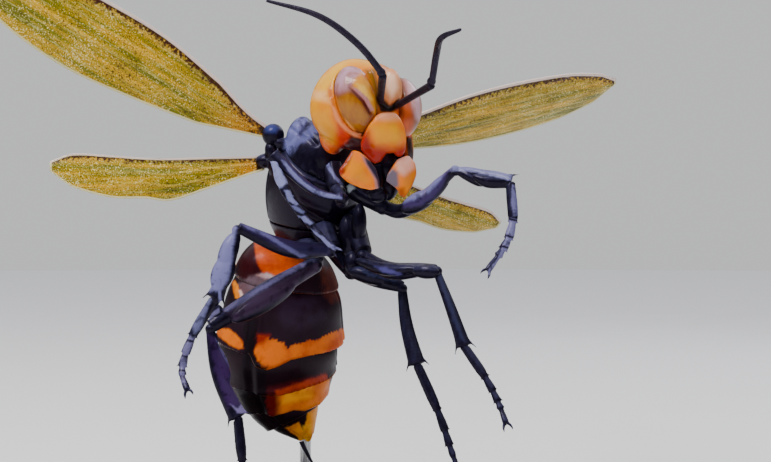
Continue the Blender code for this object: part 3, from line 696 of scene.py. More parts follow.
class HORNET_OT_stage(bpy.types.Operator):
    """Camera, floor and studio light"""

    bl_idname = "hornet.stage"
    bl_label = "Stage"

    def execute(self, context):
        bpy.ops.object.camera_add(location=CAMERA_PLACE, rotation=(math.radians(90), 0.0, 0.0))
        camera = context.object
        camera.data.lens = LENS_MM
        camera.data.sensor_width = SENSOR_MM
        camera.data.clip_start = CLIP_START
        camera.data.clip_end = CLIP_END
        context.scene.camera = camera
        bpy.ops.mesh.primitive_circle_add(
            vertices=FLOOR_SIDES, radius=sizes().floor_width / 2, fill_type="NGON")
        floor = context.object
        floor.name = "floor"
        made, tree, shader = started("pale_floor_paint", {"Base Color": light("#F6F6F4")})
        follow(tree, shader.inputs["Roughness"], blots(tree, 60.0), 0.3, 0.7, 0.55, 0.62)
        floor.data.materials.append(made)
        self.lamps(context)
        self.surroundings(context)
        return {"FINISHED"}

    def lamps(self, context):
        for place, side, power, tint in LAMPS:
            turn = (LAMP_AIM - Vector(place)).to_track_quat("-Z", "Y").to_euler()
            bpy.ops.object.light_add(type="AREA", location=place, rotation=turn)
            context.object.visible_camera = False
            lamp = context.object.data
            lamp.shape = "SQUARE"
            lamp.size = side
            lamp.energy = power
            lamp.color = light(tint)[:3]

    def surroundings(self, context):
        """An even pale grey room."""
        world = bpy.data.worlds.new("room")
        context.scene.world = world
        world.use_nodes = True
        tree = world.node_tree
        backdrop = tree.nodes["Background"]
        backdrop.inputs["Color"].default_value = light("#F2F3F4")
        seen = add(tree, "LightPath").outputs["Is Camera Ray"]
        follow(tree, backdrop.inputs["Strength"], seen, 0.0, 1.0, ROOM_LIGHT, ROOM_SEEN, "LINEAR")


# A painted area is an outline in pixels, a colour and the softness of its edge in pixels, and also the
# raggedness of the edge where it isn't even. A ridge is a line in pixels, its width and its depth.
# The head's own orange paint, with painted highlights, reflections and shade laid over it.
HEAD_PAINT_AND_PAINTED_LIGHT = (
    # A pale yellow painted highlight over the top of the head.
    (((352, 50), (306, 80), (300, 112), (326, 112), (334, 84), (350, 64), (376, 66), (400, 78), (412, 74),
      (392, 50)), "#E8AC18", 9.0),
    (((306, 104), (312, 98), (328, 102), (331, 118), (340, 133), (334, 146), (322, 140), (312, 122)),
     "#E29400", 5.0),
    (((331, 84), (336, 104), (346, 122), (356, 132), (353, 136), (342, 128), (332, 112), (327, 92)),
     "#C86408", 2.4),
    (((318, 134), (328, 146), (338, 147), (340, 156), (326, 158), (316, 146)), "#D85800", 4.0),
    # A pale painted reflection on the cheek.
    (((326, 92), (312, 90), (312, 98), (330, 103)), "#EEB878", 4.0),
    (((338, 124), (346, 130), (358, 138), (350, 150), (338, 152), (336, 140)), "#D03400", 5.0),
    # Painted shade in the gap between the cheek and the face shield.
    (((352, 134), (364, 131), (372, 120), (378, 112), (376, 124), (364, 142), (364, 150), (374, 162),
      (345, 158), (334, 153), (346, 143)), "#3A0C16", 2.6),
    # A painted highlight along the raised rim under the eye.
    (((331, 104), (335, 119), (344, 130), (354, 137), (365, 139), (364, 134), (352, 131), (342, 123),
      (335, 108)), "#E8905C", 1.4),
    (((364, 70), (376, 68), (380, 90), (378, 112), (372, 112), (374, 96), (370, 82)), "#8E5A08", 2.6),
    # The brow's pink is a painted reflection, with a paler painted highlight in it.
    (((378, 56), (396, 60), (408, 82), (402, 100), (391, 104), (381, 97), (380, 76)), "#DA8E5C", 3.0),
    (((386, 72), (395, 74), (398, 88), (392, 97), (386, 90)), "#F2C4A4", 4.0),
    (((402, 76), (407, 84), (406, 106), (401, 106), (403, 92)), "#6E5210", 1.6),
    # Painted shade in the hollow between the antenna sockets.
    (((376, 97), (383, 98), (390, 105), (399, 99), (405, 101), (399, 109), (391, 113), (380, 112)),
     "#12080C", 2.0),
    (((396, 110), (412, 104), (414, 140), (406, 138), (401, 124)), "#D03C00", 2.6),
    (((405, 137), (412, 137), (418, 180), (409, 172)), "#2A0C0E", 1.8),
)
HEAD_RIDGES = (
    (((330, 100), (333, 114), (341, 125), (351, 134), (364, 138)), 0.7, -0.45),
    (((327, 98), (330, 116), (338, 128), (350, 138), (356, 143)), 0.8, 0.35),
    (((371, 74), (375, 88), (376, 104)), 0.9, -0.5),
    (((404, 80), (405, 92), (403, 104)), 0.7, -0.35),
    (((380, 101), (390, 109), (401, 103)), 1.0, 0.9),
    (((345, 142), (352, 140), (360, 143)), 0.8, 0.5),
)
EYE_PAINT_AND_PAINTED_LIGHT = {
    "right": (
        # The lavender over the upper lobe is a painted reflection.
        (((345, 62), (334, 80), (333, 93), (345, 91), (352, 86), (362, 88), (368, 72), (360, 64)),
         "#B88CA0", 6.5),
        (((336, 100), (348, 92), (360, 100), (368, 116), (362, 132), (350, 126)), "#A46800", 4.0),
        (((331, 100), (336, 96), (342, 116), (356, 130), (352, 134), (338, 122)), "#D88A30", 1.6),
        # The gold upper corner and its pale middle are painted highlights.
        (((353, 80), (362, 72), (370, 82), (377, 100), (376, 116), (368, 104), (360, 94), (352, 88)),
         "#DA9010", 3.0),
        (((357, 84), (366, 86), (372, 100), (366, 100), (358, 92)), "#F0BC54", 3.0),
        # A pink painted highlight beside the crease, then painted shade in the crease.
        (((351, 86), (358, 89), (368, 98), (374, 110), (371, 111), (364, 101), (355, 92)), "#B87880", 1.0),
        (((349, 87), (355, 91), (364, 100), (371, 113), (369, 114), (361, 102), (353, 93)), "#5A1C10", 0.8),
    ),
    "left": (
        # The lavender-pink over the far eye is a painted reflection.
        (((404, 72), (414, 78), (424, 96), (424, 124), (416, 118), (408, 98)), "#CCA4B0", 4.0),
        (((400, 98), (410, 102), (413, 122), (412, 140), (402, 130)), "#C85A20", 4.0),
    ),
}
# How far the eyes stand out over their solids, the crease of the near one and the mound beside it.
EYE_RISE = 0.32
EYE_CREASE = (((351, 87), (357, 92), (365, 100), (371, 112)), 0.7, 0.5)
EYE_MOUND = (362, 82, 2.6, 0.5)
# The face's plates: a seen outline, a place and the way of the plane it lies on, and the plate's thickness,
# then its paint, mounds and ridges. A mound is a pixel, its radius and its height.
SHIELD = {
    "outline": (
        (382, 116), (394, 115), (398, 120), (402, 130), (404, 140), (404, 150), (401, 156), (397, 155),
        (395, 150), (385, 150), (382, 156), (380, 161), (374, 163), (367, 157), (362, 150), (362, 143),
        (366, 135), (371, 126), (377, 118)),
    "through": (27.6, -34.2, 127.2), "facing": (0.41, -0.90, -0.16), "thickness": 8.0,
    "areas": (
        # The peach top and the bright yellow centre are painted highlights; the red-brown round the sides and
        # bottom is partly the shield's own rim paint and partly painted shade on its lower side.
        (((378, 108), (397, 108), (402, 118), (392, 123), (377, 120)), "#E8986C", 4.4),
        (((370, 126), (394, 121), (403, 134), (398, 144), (376, 143)), "#E69600", 5.0),
        (((384, 126), (396, 128), (397, 138), (386, 140)), "#F2A800", 5.0),
        (((355, 132), (366, 128), (374, 146), (392, 149), (410, 143), (412, 170), (370, 172), (352, 156)),
         "#A01800", 6.5),
    ),
    "mounds": ((387, 134, 6.4, 1.9),),
    "ridges": (
        (((367, 149), (375, 149), (386, 149), (396, 147), (401, 146)), 1.0, 0.35),
        (((371, 132), (369, 142), (373, 154)), 1.0, 0.4),
    ),
}
JAWS = {
    "right": {
        "outline": (
            (353, 151), (359, 153), (367, 160), (375, 169), (379, 180), (380, 188), (371, 190), (360, 187),
            (349, 181), (341, 175), (340, 170), (346, 164), (350, 157)),
        "through": (21.6, -40.4, 117.8), "facing": (0.34, -0.94, 0.05), "thickness": 5.0,
        "areas": (
            (((361, 154), (374, 166), (382, 190), (376, 192), (374, 178), (364, 162)), "#A07880", 1.6),
            (((364, 156), (378, 166), (385, 190), (379, 192), (377, 180), (367, 164)), "#2A2036", 1.2),
            # Painted shade on the jaw's outer corner.
            (((336, 166), (345, 161), (350, 152), (354, 150), (350, 164), (344, 174), (336, 178)),
             "#8E2404", 1.4),
            (((353, 158), (362, 164), (369, 184), (350, 178), (346, 168)), "#E68A00", 4.0),
        ),
        "mounds": ((358, 168, 4.6, 1.1), (352, 176, 2.0, 0.4)),
        "ridges": (),
    },
    "left": {
        "outline": (
            (398, 161), (408, 156), (414, 164), (415, 175), (412, 186), (405, 198), (400, 196), (397, 189),
            (392, 185), (386, 181), (388, 174), (394, 167)),
        "through": (32.5, -31.8, 118.3), "facing": (0.30, -0.95, 0.10), "thickness": 5.0,
        "areas": (
            (((402, 170), (416, 166), (414, 190), (404, 194)), "#DE8200", 3.4),
            # The pinkish cream over the top is a painted highlight.
            (((396, 156), (411, 154), (415, 168), (404, 176), (397, 172)), "#E0A898", 3.6),
            (((382, 178), (392, 168), (398, 172), (399, 186), (392, 190)), "#6A6070", 2.6),
            (((396, 188), (404, 188), (406, 200), (398, 200)), "#A04808", 3.0),
        ),
        "mounds": ((405, 170, 3.6, 1.2),),
        "ridges": (),
    },
}
# Forms melted into the head and the mouthparts: pixel, depth, radii, and turn in degrees.
HEAD_FORMS = (
    (391.5, 88, -28.6, (3.2, 3.4, 5.9), (0, -6, 38)),
    (332.5, 135, -25.0, (4.1, 5.0, 5.9), (0, -6, 0)),
    (407.5, 150, -19.0, (1.9, 6.6, 6.6)),
    (371, 86, -34.2, (1.4, 1.6, 5.4), (0, -8, 40)),
    (358, 142, -30.0, (4.4, 3.6, 2.6)),
)
MOUTH_FORMS = (
    (387, 168, -27.0, (3.6, 3.4, 4.6)),
    (388, 186, -25.5, (3.2, 3.2, 4.4)),
    (378, 194, -27.0, (3.4, 3.0, 2.6)),
    (396, 160, -24.5, (2.8, 3.0, 3.4)),
)
ELBOW_RADIUS = 1.35


class HORNET_OT_head(bpy.types.Operator):
    """Head shell with its cheeks, brow and crown"""

    bl_idname = "hornet.head"
    bl_label = "Head"

    def execute(self, context):
        piece = dressed("head", sizes().head_grain, rounds=7, extras=lumps(HEAD_FORMS))
        press_all(piece, HEAD_RIDGES)
        coated(piece, colours().orange, HEAD_PAINT_AND_PAINTED_LIGHT)
        settle(piece, "head", "head")
        return {"FINISHED"}


class HORNET_OT_eyes(bpy.types.Operator):
    """Bean-shaped eyes; the right one has the crease along its inner side"""

    bl_idname = "hornet.eyes"
    bl_label = "Eyes"

    def execute(self, context):
        for side in ("left", "right"):
            piece = dressed(f"eye_{side}", sizes().head_grain, rounds=5)
            inflate(piece, EYE_RISE)
            if side == "right":
                press(piece, *EYE_CREASE)
                swell(piece, *EYE_MOUND)
            coated(piece, colours().eye, EYE_PAINT_AND_PAINTED_LIGHT[side])
            settle(piece, "eye", f"eye_{side}")
        return {"FINISHED"}


class HORNET_OT_face(bpy.types.Operator):
    """Face shield, jaws and the mouthparts behind them"""

    bl_idname = "hornet.face"
    bl_label = "Face"

    def execute(self, context):
        self.face_plate("clypeus", SHIELD, rounds=14)
        for side, jaw in JAWS.items():
            self.face_plate(f"mandible_{side}", jaw, rounds=9)
        tongue = dressed("mouthparts", sizes().leg_grain, LIMB_ROUNDS, extras=lumps(MOUTH_FORMS))
        painted_violet(tongue, "mouthparts")
        return {"FINISHED"}

    def face_plate(self, node, form, rounds):
        """A plate with its mounds, ridges and paint."""
        piece = plate(
            f"{node}_skin", form["outline"], form["through"], form["facing"], form["thickness"], rounds)
        for mound in form["mounds"]:
            swell(piece, *mound)
        press_all(piece, form["ridges"])
        coated(piece, colours().orange, form["areas"])
        settle(piece, "head", node)


class HORNET_OT_antennae(bpy.types.Operator):
    """Scapes and ringed flagella"""

    bl_idname = "hornet.antennae"
    bl_label = "Antennae"

    def execute(self, context):
        for side in ("left", "right"):
            stem, whip = f"antenna_scape_{side}", f"antenna_flagellum_{side}"
            elbow = ball(joint_between(stem, whip), ELBOW_RADIUS)
            for node, extras in ((stem, ()), (whip, [elbow])):
                piece = dressed(node, sizes().leg_grain, LIMB_ROUNDS, LIMB_SHARP, extras)
                settle(piece, "antenna", node)
        return {"FINISHED"}


# The shade on the thorax's side, which two plates share.
SIDE_SHADE = (((258, 160), (290, 172), (330, 225), (336, 262), (258, 250)), "#12060F", 4.0)


def ring_marks(*outlines):
    """The dark marks between the rings of a foot, as painted areas."""
    return [(outline, "#1A1424", 0.7, 0.3) for outline in outlines]


# Painted highlights and painted shade on the violet pieces, as on the head; the dark marks between a foot's
# rings are its own paint.
VIOLET_MARKS_AND_PAINTED_LIGHT = {
    "pronotum": (
        (((284, 150), (286, 132), (300, 112), (310, 117), (302, 130), (296, 148), (288, 156)),
         "#666A9C", 3.2, 0.8),
        (((300, 134), (312, 124), (318, 132), (306, 142), (294, 146)), "#565A88", 2.4, 0.8),
    ),
    "mesothorax": (SIDE_SHADE,),
    "propodeum": (SIDE_SHADE,),
    "tegula_right": ((((264, 126), (272, 124), (279, 128), (276, 133), (266, 132)), "#2E3870", 3.0),),
    "foreleg_right_coxa": (
        (((324, 153), (326, 153), (330, 166), (336, 176), (344, 184), (342, 187), (334, 178), (327, 168)),
         "#787CB0", 0.8),
    ),
    "foreleg_left_coxa": ((((346, 186), (352, 183), (356, 188), (349, 193)), "#B8C8CC", 1.0, 0.6),),
    "foreleg_right_tibia": (
        (((281, 156), (287, 158), (304, 177), (322, 189), (343, 193), (343, 199), (320, 197), (298, 183),
          (282, 166)), "#2A2648", 2.0, 0.2),
        (((281, 160), (285, 161), (294, 172), (304, 182), (316, 190), (342, 197), (342, 199), (328, 198),
          (312, 192), (297, 181), (288, 171)), "#6C6E98", 0.7, 0.2),
    ),
    "foreleg_right_foot": (
        (((268, 154), (275, 155), (284, 170), (292, 183), (285, 184), (277, 192), (273, 180), (270, 168)),
         "#8084AC", 1.2, 0.4),
        (((284, 190), (290, 190), (300, 203), (297, 205), (288, 201)), "#70749C", 0.9, 0.4),
        (((290, 205), (298, 207), (305, 212), (303, 214), (296, 211)), "#5A5E84", 0.8, 0.4),
        (((297, 216), (305, 216), (313, 223), (310, 225), (302, 221)), "#666A90", 0.8, 0.4),
        (((310, 228), (322, 236), (331, 244), (342, 250), (340, 253), (328, 247), (318, 239)),
         "#6E7098", 0.8, 0.4),
    ),
    "midleg_right_femur": (
        (((238, 221), (256, 223), (290, 237), (312, 250), (306, 257), (280, 249), (262, 238), (246, 230)),
         "#2C2446", 2.6, 0.4),
        (((238, 222), (250, 226), (268, 233), (284, 244), (308, 256), (300, 258), (282, 247), (266, 237),
          (248, 229)), "#5C5A86", 1.0, 0.3),
        (((284, 240), (330, 246), (330, 256), (300, 254)), "#2A2444", 2.4, 0.4),
    ),
    "midleg_right_tibia": (
        (((230, 222), (237, 228), (233, 246), (232, 262), (228, 280), (221, 291), (205, 291), (208, 280),
          (217, 256)), "#70709C", 2.4, 0.5),
        (((218, 290), (221, 291), (222, 305), (219, 305)), "#70709C", 0.6, 0.2),
    ),
    "midleg_right_foot": (
        (((205, 292), (213, 296), (200, 330), (194, 334), (192, 322)), "#5C5E80", 1.8, 0.5),
        (((188, 335), (196, 338), (190, 352), (185, 372), (186, 386), (180, 384), (179, 360)),
         "#686488", 1.6, 0.8),
        *ring_marks(
            ((184, 338), (200, 342), (200, 344), (184, 341)),
            ((178, 354), (194, 357), (194, 359), (178, 356)),
            ((176, 369), (190, 370), (190, 372), (176, 371)),
        ),
    ),
    "hindleg_right_femur": (
        (((225, 312), (300, 270), (320, 262), (322, 274), (280, 300), (235, 322)), "#342438", 3.0, 0.4),
        (((222, 309), (240, 298), (300, 263), (306, 263), (304, 267), (270, 285), (228, 312)),
         "#645E86", 1.5, 0.5),
        (((204, 322), (210, 314), (219, 308), (220, 312), (210, 319)), "#706C94", 0.9, 0.3),
    ),
    "hindleg_right_tibia": (
        (((208, 334), (218, 340), (236, 376), (243, 404), (228, 408), (214, 368)), "#321E46", 3.0, 0.6),
        (((215, 338), (223, 348), (232, 366), (240, 384), (245, 402), (241, 402), (236, 385), (229, 367),
          (220, 350)), "#544C76", 0.7, 0.2),
        (((230, 404), (238, 409), (244, 400), (247, 414), (238, 413)), "#6C628A", 1.2, 0.4),
    ),
    "foreleg_left_femur": (
        (((400, 196), (424, 184), (442, 168), (448, 172), (443, 186), (434, 198), (422, 206), (404, 208)),
         "#362A52", 2.4, 0.4),
        (((402, 192), (424, 182), (440, 168), (452, 162), (459, 167), (446, 172), (438, 183), (428, 193),
          (414, 200), (403, 203)), "#6C6E9A", 2.4, 0.4),
    ),
    "foreleg_left_tibia": (
        (((446, 160), (482, 164), (514, 176), (511, 181), (480, 173), (460, 171), (448, 172)),
         "#76789E", 0.8, 0.3),
    ),
    "foreleg_left_foot": (
        (((512, 184), (520, 188), (522, 216), (513, 216), (511, 200)), "#68668E", 1.0, 0.4),
        (((507, 218), (519, 219), (516, 240), (508, 258), (492, 276), (485, 274), (498, 258), (505, 240)),
         "#6E6C92", 0.9, 0.4),
        *ring_marks(
            ((504, 217), (519, 220), (519, 222), (504, 219)),
            ((502, 233), (515, 237), (515, 239), (501, 235)),
            ((499, 244), (512, 248), (511, 250), (498, 246)),
        ),
    ),
    "midleg_left_femur": (
        (((370, 258), (396, 261), (436, 264), (430, 267), (400, 265)), "#4A4A58", 1.4, 0.4),
        (((374, 266), (384, 267), (402, 274), (398, 276), (382, 272)), "#4A467E", 1.6, 0.4),
    ),
    "midleg_left_tibia": (
        (((437, 273), (441, 274), (461, 330), (465, 342), (460, 338), (446, 300)), "#282A42", 1.4, 0.4),
    ),
    "hindleg_left_femur": (
        (((354, 265), (374, 272), (400, 279), (396, 282), (368, 276)), "#3E4264", 1.4, 0.4),
    ),
}

THORAX_NODES = (
    "neck", "pronotum", "mesonotum", "mesothorax", "propodeum", "tegula_left", "tegula_right")
# Forms melted into the thorax's solids, and grooves and ridges pressed into them, as for the head.
THORAX_FORMS = {
    "pronotum": (
        (299, 133, -7.0, (3.6, 5.6, 5.6), (0, 26, 0)),
        (281, 144, -7.4, (3.6, 2.8, 2.2), (0, 30, 0)),
    ),
    "tegula_left": ((345.8, 148.5, 6.2, (6.2, 2.6, 2.9), (0, -48, 0)),),
    "mesothorax": (
        (272, 152, -7.2, (2.2, 2.4, 3.6), (0, -14, 0)),
        (266, 161, -5.6, (3.4, 2.6, 2.4), (0, 0, 0)),
        (278, 168, -6.5, (3.0, 4.0, 5.0), (0, 0, 0)),
    ),
}
THORAX_RIDGES = {
    "pronotum": (
        (((290, 128), (296, 132), (306, 137)), 0.6, 0.8),
        (((300, 115), (303, 124), (309, 136), (316, 144)), 0.7, 0.6),
        (((288, 150), (294, 142), (299, 132)), 0.9, -0.5),
        (((292, 160), (304, 172), (320, 180), (334, 183)), 1.2, 0.7),
    ),
    "mesothorax": (
        (((283, 180), (292, 196), (306, 210), (322, 219)), 1.0, 0.8),
        (((300, 200), (312, 207), (328, 212)), 1.2, -0.6),
    ),
}


def painted_violet(piece, node):
    """Gives a violet piece its ground with painted light from above, its painted highlights, painted shade
    and marks, and settles it.
    """
    coated(piece, violet_with_painted_top_light(piece), VIOLET_MARKS_AND_PAINTED_LIGHT.get(node, ()))
    settle(piece, "violet", node)


class HORNET_OT_thorax(bpy.types.Operator):
    """Neck, the thorax's plates and the round wing scales"""

    bl_idname = "hornet.thorax"
    bl_label = "Thorax"

    def execute(self, context):
        for node in THORAX_NODES:
            piece = dressed(node, sizes().body_grain, rounds=6, extras=lumps(THORAX_FORMS.get(node, ())))
            press_all(piece, THORAX_RIDGES.get(node, ()))
            painted_violet(piece, node)
        return {"FINISHED"}


# Abdomen: the way its belly faces, and the seam between back and belly plates in degrees from the belly.
BELLY_YAW = math.radians(35.0)
SEAM_ANGLE = 60.0
SEAM_WIDTH = 4.0
SEAM_DEPTH = 0.8
# The spine: the joints between the rings.
ABDOMEN_SPINE = (
    (0.4, 10.5, 96.0),
    (-4.8, 13.5, 84.6),
    (-7.4, 17.5, 64.6),
    (-7.8, 20.5, 53.0),
    (-6.4, 22.0, 44.4),
    (-3.4, 22.5, 37.8),
    (1.0, 22.0, 30.0),
)
# A rear rim hangs over this far above it, more towards the rim, and flares by a share of how far it hangs.
HANG_REACH = 9.0
HANG_CURVE = 1.5
HANG_FLARE = 0.22
# Softness of a painted band's edge, and how far the edge wobbles.
BAND_SOFT = 0.6
SEAMED_RINGS = (2, 3, 4, 5, 6)
TIP_RING = 6
TIP_FORM = (308, 432, 20.5, (1.7, 1.7, 3.4))
# Soft shoulders on the side by the right middle leg: pixel, radius and height.
SHOULDERS = {1: (250, 262, 7.0, 1.8), 2: (244, 292, 7.0, 1.2)}
# Each ring's band on all sides: points of (angle from the belly, width of the band above the rear rim).
BANDS = {
    1: ((0, 8.0), (50, 8.0), (60, 5.0), (66, -2.0), (75, 3.0), (110, 4.0), (180, 4.0)),
    2: ((0, 4.0), (20, 4.2), (36, 5.5), (46, 8.0), (56, 7.0), (60, 0.0), (64, -2.0), (70, 4.0), (90, 5.0),
        (180, 5.0)),
    3: ((0, 1.6), (30, 1.4), (50, 0.8), (60, -1.0), (180, 1.0)),
    4: ((0, 8.0), (36, 8.0), (50, 5.0), (56, -1.0), (70, 1.0), (100, 4.0), (180, 6.0)),
    5: ((0, -2.0), (180, -2.0)),
    6: ((0, 20.0), (60, 20.0), (90, 6.0), (180, 20.0)),
}
# How far each rear rim hangs down, by signed angle from the belly.
DROOP = {
    1: ((-180, 0.8), (180, 0.8)),
    2: ((-75, 0.8), (-60, 1.4), (-52, 4.2), (-42, 4.6), (-32, 3.4), (-20, 1.6), (0, 0.8), (180, 0.8)),
    3: ((-70, 0.9), (-55, 2.2), (-30, 2.4), (0, 1.6), (40, 1.6), (70, 0.9), (180, 0.9)),
    4: ((-70, 0.8), (-50, 2.4), (-20, 3.0), (-5, 5.0), (20, 6.0), (45, 4.8), (64, 2.0), (75, 0.8),
        (180, 0.8)),
    5: ((-60, 0.8), (-20, 1.2), (20, 1.2), (60, 0.8), (180, 0.8)),
}
# How far the third ring draws in under the second, by signed angle from the belly.
SHRINK = ((-180, 0), (-10, 0), (30, 2.0), (60, 3.2), (90, 2.0), (130, 0.0), (180, 0))
# It draws in from this far above its rim, fully at a reach further up.
SHRUNK_RING = 3
SHRINK_START = 1.0
SHRINK_REACH = 12.0
# The painted sheen that the first two rings share, and the painted shade in the seam, painted across the
# second to the fourth.
RING_LIGHT = (
    ((238, 284), (250, 276), (264, 273), (280, 278), (262, 304), (240, 302)), "#64505A", 2.4, 1.0)
SEAM_PAINTED_SHADE = (
    ((244, 296), (257, 300), (257, 342), (254, 351), (258, 361), (266, 368), (266, 392), (268, 420),
     (262, 434), (248, 430), (238, 392), (244, 350)), "#0C0406", 2.0, 1.6)
ABDOMEN_PAINT_AND_PAINTED_LIGHT = {
    1: (
        (((220, 236), (360, 236), (360, 320), (220, 320)), "#1C0912", 6.0),
        (((253, 236), (304, 236), (304, 262), (288, 274), (266, 281), (256, 264)), "#CC5200", 1.4, 1.2),
        # A painted shadow over the first ring's left side.
        (((236, 240), (252, 238), (257, 262), (266, 282), (240, 282)), "#30080C", 2.0, 1.0),
        RING_LIGHT,
        # A painted highlight on the ring's upper edge.
        (((256, 275), (266, 273), (277, 277), (266, 279)), "#C0A8AE", 1.6, 0.6),
        (((231, 284), (236, 282), (243, 299), (237, 299)), "#E48410", 1.0, 0.6),
        (((320, 266), (348, 270), (348, 304), (326, 302)), "#4A1C14", 3.0, 3.0),
    ),
    2: (
        (((200, 270), (360, 270), (360, 420), (200, 420)), "#1C0A16", 6.0),
        RING_LIGHT,
        # A painted highlight on the ring's upper edge.
        (((250, 277), (262, 274), (272, 277), (262, 281)), "#A89498", 1.6, 0.6),
        (((231, 280), (236, 281), (244, 299), (235, 298)), "#E48410", 1.0, 0.6),
        # A small painted highlight on the orange spot.
        (((238, 290), (241, 290), (245, 298), (241, 298)), "#D8B8B0", 1.0, 0.4),
        (((320, 266), (348, 270), (348, 300), (328, 302)), "#4A1C14", 3.0, 3.0),
        # A faint painted reflection on the dark ring.
        (((280, 300), (318, 296), (326, 318), (300, 330), (276, 326)), "#26182A", 6.0),
        (((262, 336), (274, 340), (283, 343), (288, 348), (300, 343), (320, 338), (350, 326), (350, 400),
          (252, 400), (253, 352), (258, 336)), "#DC6A00", 0.9, 1.4),
        (((254, 334), (270, 335), (265, 342), (254, 346)), "#8E2000", 3.0),
        (((214, 331), (221, 328), (229, 329), (237, 335), (245, 344), (244, 348), (238, 349), (230, 345),
          (221, 338)), "#DC6C00", 1.4, 0.5),
        SEAM_PAINTED_SHADE,
    ),
    3: (
        (((200, 330), (360, 330), (360, 430), (200, 430)), "#1A080F", 6.0),
        (((256, 390), (290, 382), (326, 372), (336, 410), (256, 412)), "#420A0E", 2.6, 0.6),
        (((276, 391), (290, 386), (326, 374), (336, 410), (276, 412)), "#AC3606", 2.0, 0.8),
        SEAM_PAINTED_SHADE,
    ),
    4: (
        (((200, 370), (360, 370), (360, 440), (200, 440)), "#1A080F", 6.0),
        (((268, 388), (300, 380), (330, 370), (330, 440), (272, 440), (266, 404)), "#EA7A00", 1.2, 1.0),
        (((260, 386), (276, 390), (280, 404), (276, 432), (260, 432)), "#5E0A04", 5.0, 0.5),
        (((284, 393), (314, 386), (312, 398), (282, 404)), "#FFA60A", 3.0),
        SEAM_PAINTED_SHADE,
    ),
    5: (
        (((200, 380), (360, 380), (360, 450), (200, 450)), "#16070F", 6.0),
        (((282, 400), (318, 392), (318, 408), (286, 416)), "#2C1A2A", 4.0),
    ),
    6: (
        (((270, 400), (330, 400), (330, 450), (270, 450)), "#1A080F", 4.0),
        (((286, 428), (299, 422), (304, 432), (308, 410), (320, 404), (315, 430), (314, 450), (298, 450),
          (299, 438)), "#FFA000", 1.0, 0.6),
        (((303, 426), (311, 424), (312, 446), (302, 444)), "#FFB41E", 2.0),
    ),
}


def around_spine(points):
    """Each point's angle from the belly in degrees, its millimetres along the spine and its outward way."""
    spine = np.array(ABDOMEN_SPINE) * MM
    steps = np.linalg.norm(np.diff(spine, axis=0), axis=1)
    reached = np.concatenate([[0.0], np.cumsum(steps)])
    best = np.full(len(points), np.inf)
    along = np.zeros(len(points))
    foot = np.zeros_like(points)
    for k, (near, far) in enumerate(zip(spine, spine[1:])):
        way = far - near
        share = np.clip((points - near) @ way / (way @ way), 0.0, 1.0)
        place = near + share[:, None] * way
        away = np.linalg.norm(points - place, axis=1)
        closer = away < best
        best[closer] = away[closer]
        along[closer] = (reached[k] + share * steps[k])[closer]
        foot[closer] = place[closer]
    out = points - foot
    belly = np.array((math.sin(BELLY_YAW), -math.cos(BELLY_YAW), 0.0))
    across = np.array((math.cos(BELLY_YAW), math.sin(BELLY_YAW), 0.0))
    angle = np.degrees(np.arctan2(out @ across, out @ belly))
    return angle, along / MM, out / np.linalg.norm(out, axis=1)[:, None]


def rim_of(along, number):
    """Distance above the segment's rear rim."""
    spine = np.array(ABDOMEN_SPINE)
    reached = np.concatenate([[0.0], np.cumsum(np.linalg.norm(np.diff(spine, axis=0), axis=1))])
    return reached[number] - along


class HORNET_OT_abdomen(bpy.types.Operator):
    """Abdomen plates, seamed along both sides, with painted bands, and the sting"""

    bl_idname = "hornet.abdomen"
    bl_label = "Abdomen"

    def execute(self, context):
        for number in BANDS:
            self.segment(number)
        sting = dressed("sting", sizes().leg_grain, rounds=3)
        settle(sting, "antenna", "sting")
        return {"FINISHED"}

    def segment(self, number):
        """One ring of plates: its rim hangs over the next, and its band is painted above the rim."""
        node = f"abdomen_segment_{number}"
        nub = [lump(*TIP_FORM)] if number == TIP_RING else ()
        piece = dressed(node, sizes().body_grain, rounds=5, extras=nub)
        points = points_of(piece)
        normals = normals_of(piece)
        angle, along, outward = around_spine(points)
        rim = rim_of(along, number)
        width = np.interp(np.abs(angle), *zip(*BANDS[number]))
        share = np.clip((width - rim + BAND_SOFT * ripple(points)) / BAND_SOFT + 0.5, 0.0, 1.0)[:, None]
        ground = np.array(colours().umber)[:3] * (1.0 - share) + np.array(colours().band)[:3] * share
        seam = fade(np.abs(angle) - SEAM_ANGLE, SEAM_WIDTH) * (number in SEAMED_RINGS)
        moved = points - normals * (seam * SEAM_DEPTH * MM)[:, None]
        if number in DROOP:
            down = np.array(ABDOMEN_SPINE[number]) - np.array(ABDOMEN_SPINE[number - 1])
            down /= np.linalg.norm(down)
            reach = np.clip(1.0 - rim / HANG_REACH, 0.0, 1.0) ** HANG_CURVE
            hang = np.interp(angle, *zip(*DROOP[number])) * reach
            moved += (down * hang[:, None] + normals * (HANG_FLARE * hang)[:, None]) * MM
        if number == SHRUNK_RING:
            drawn = np.clip((rim - SHRINK_START) / SHRINK_REACH, 0.0, 1.0)
            moved -= outward * (np.interp(angle, *zip(*SHRINK)) * drawn * MM)[:, None]
        put_points(piece, moved)
        if number in SHOULDERS:
            swell(piece, *SHOULDERS[number])
        coated(piece, ground, ABDOMEN_PAINT_AND_PAINTED_LIGHT[number])
        settle(piece, "banded", node)


# Pieces of a leg, and the radius of the ball at the joint above each.
LEG_PARTS = (("coxa", 0.0), ("femur", 2.5), ("tibia", 1.6), ("foot", 1.2))
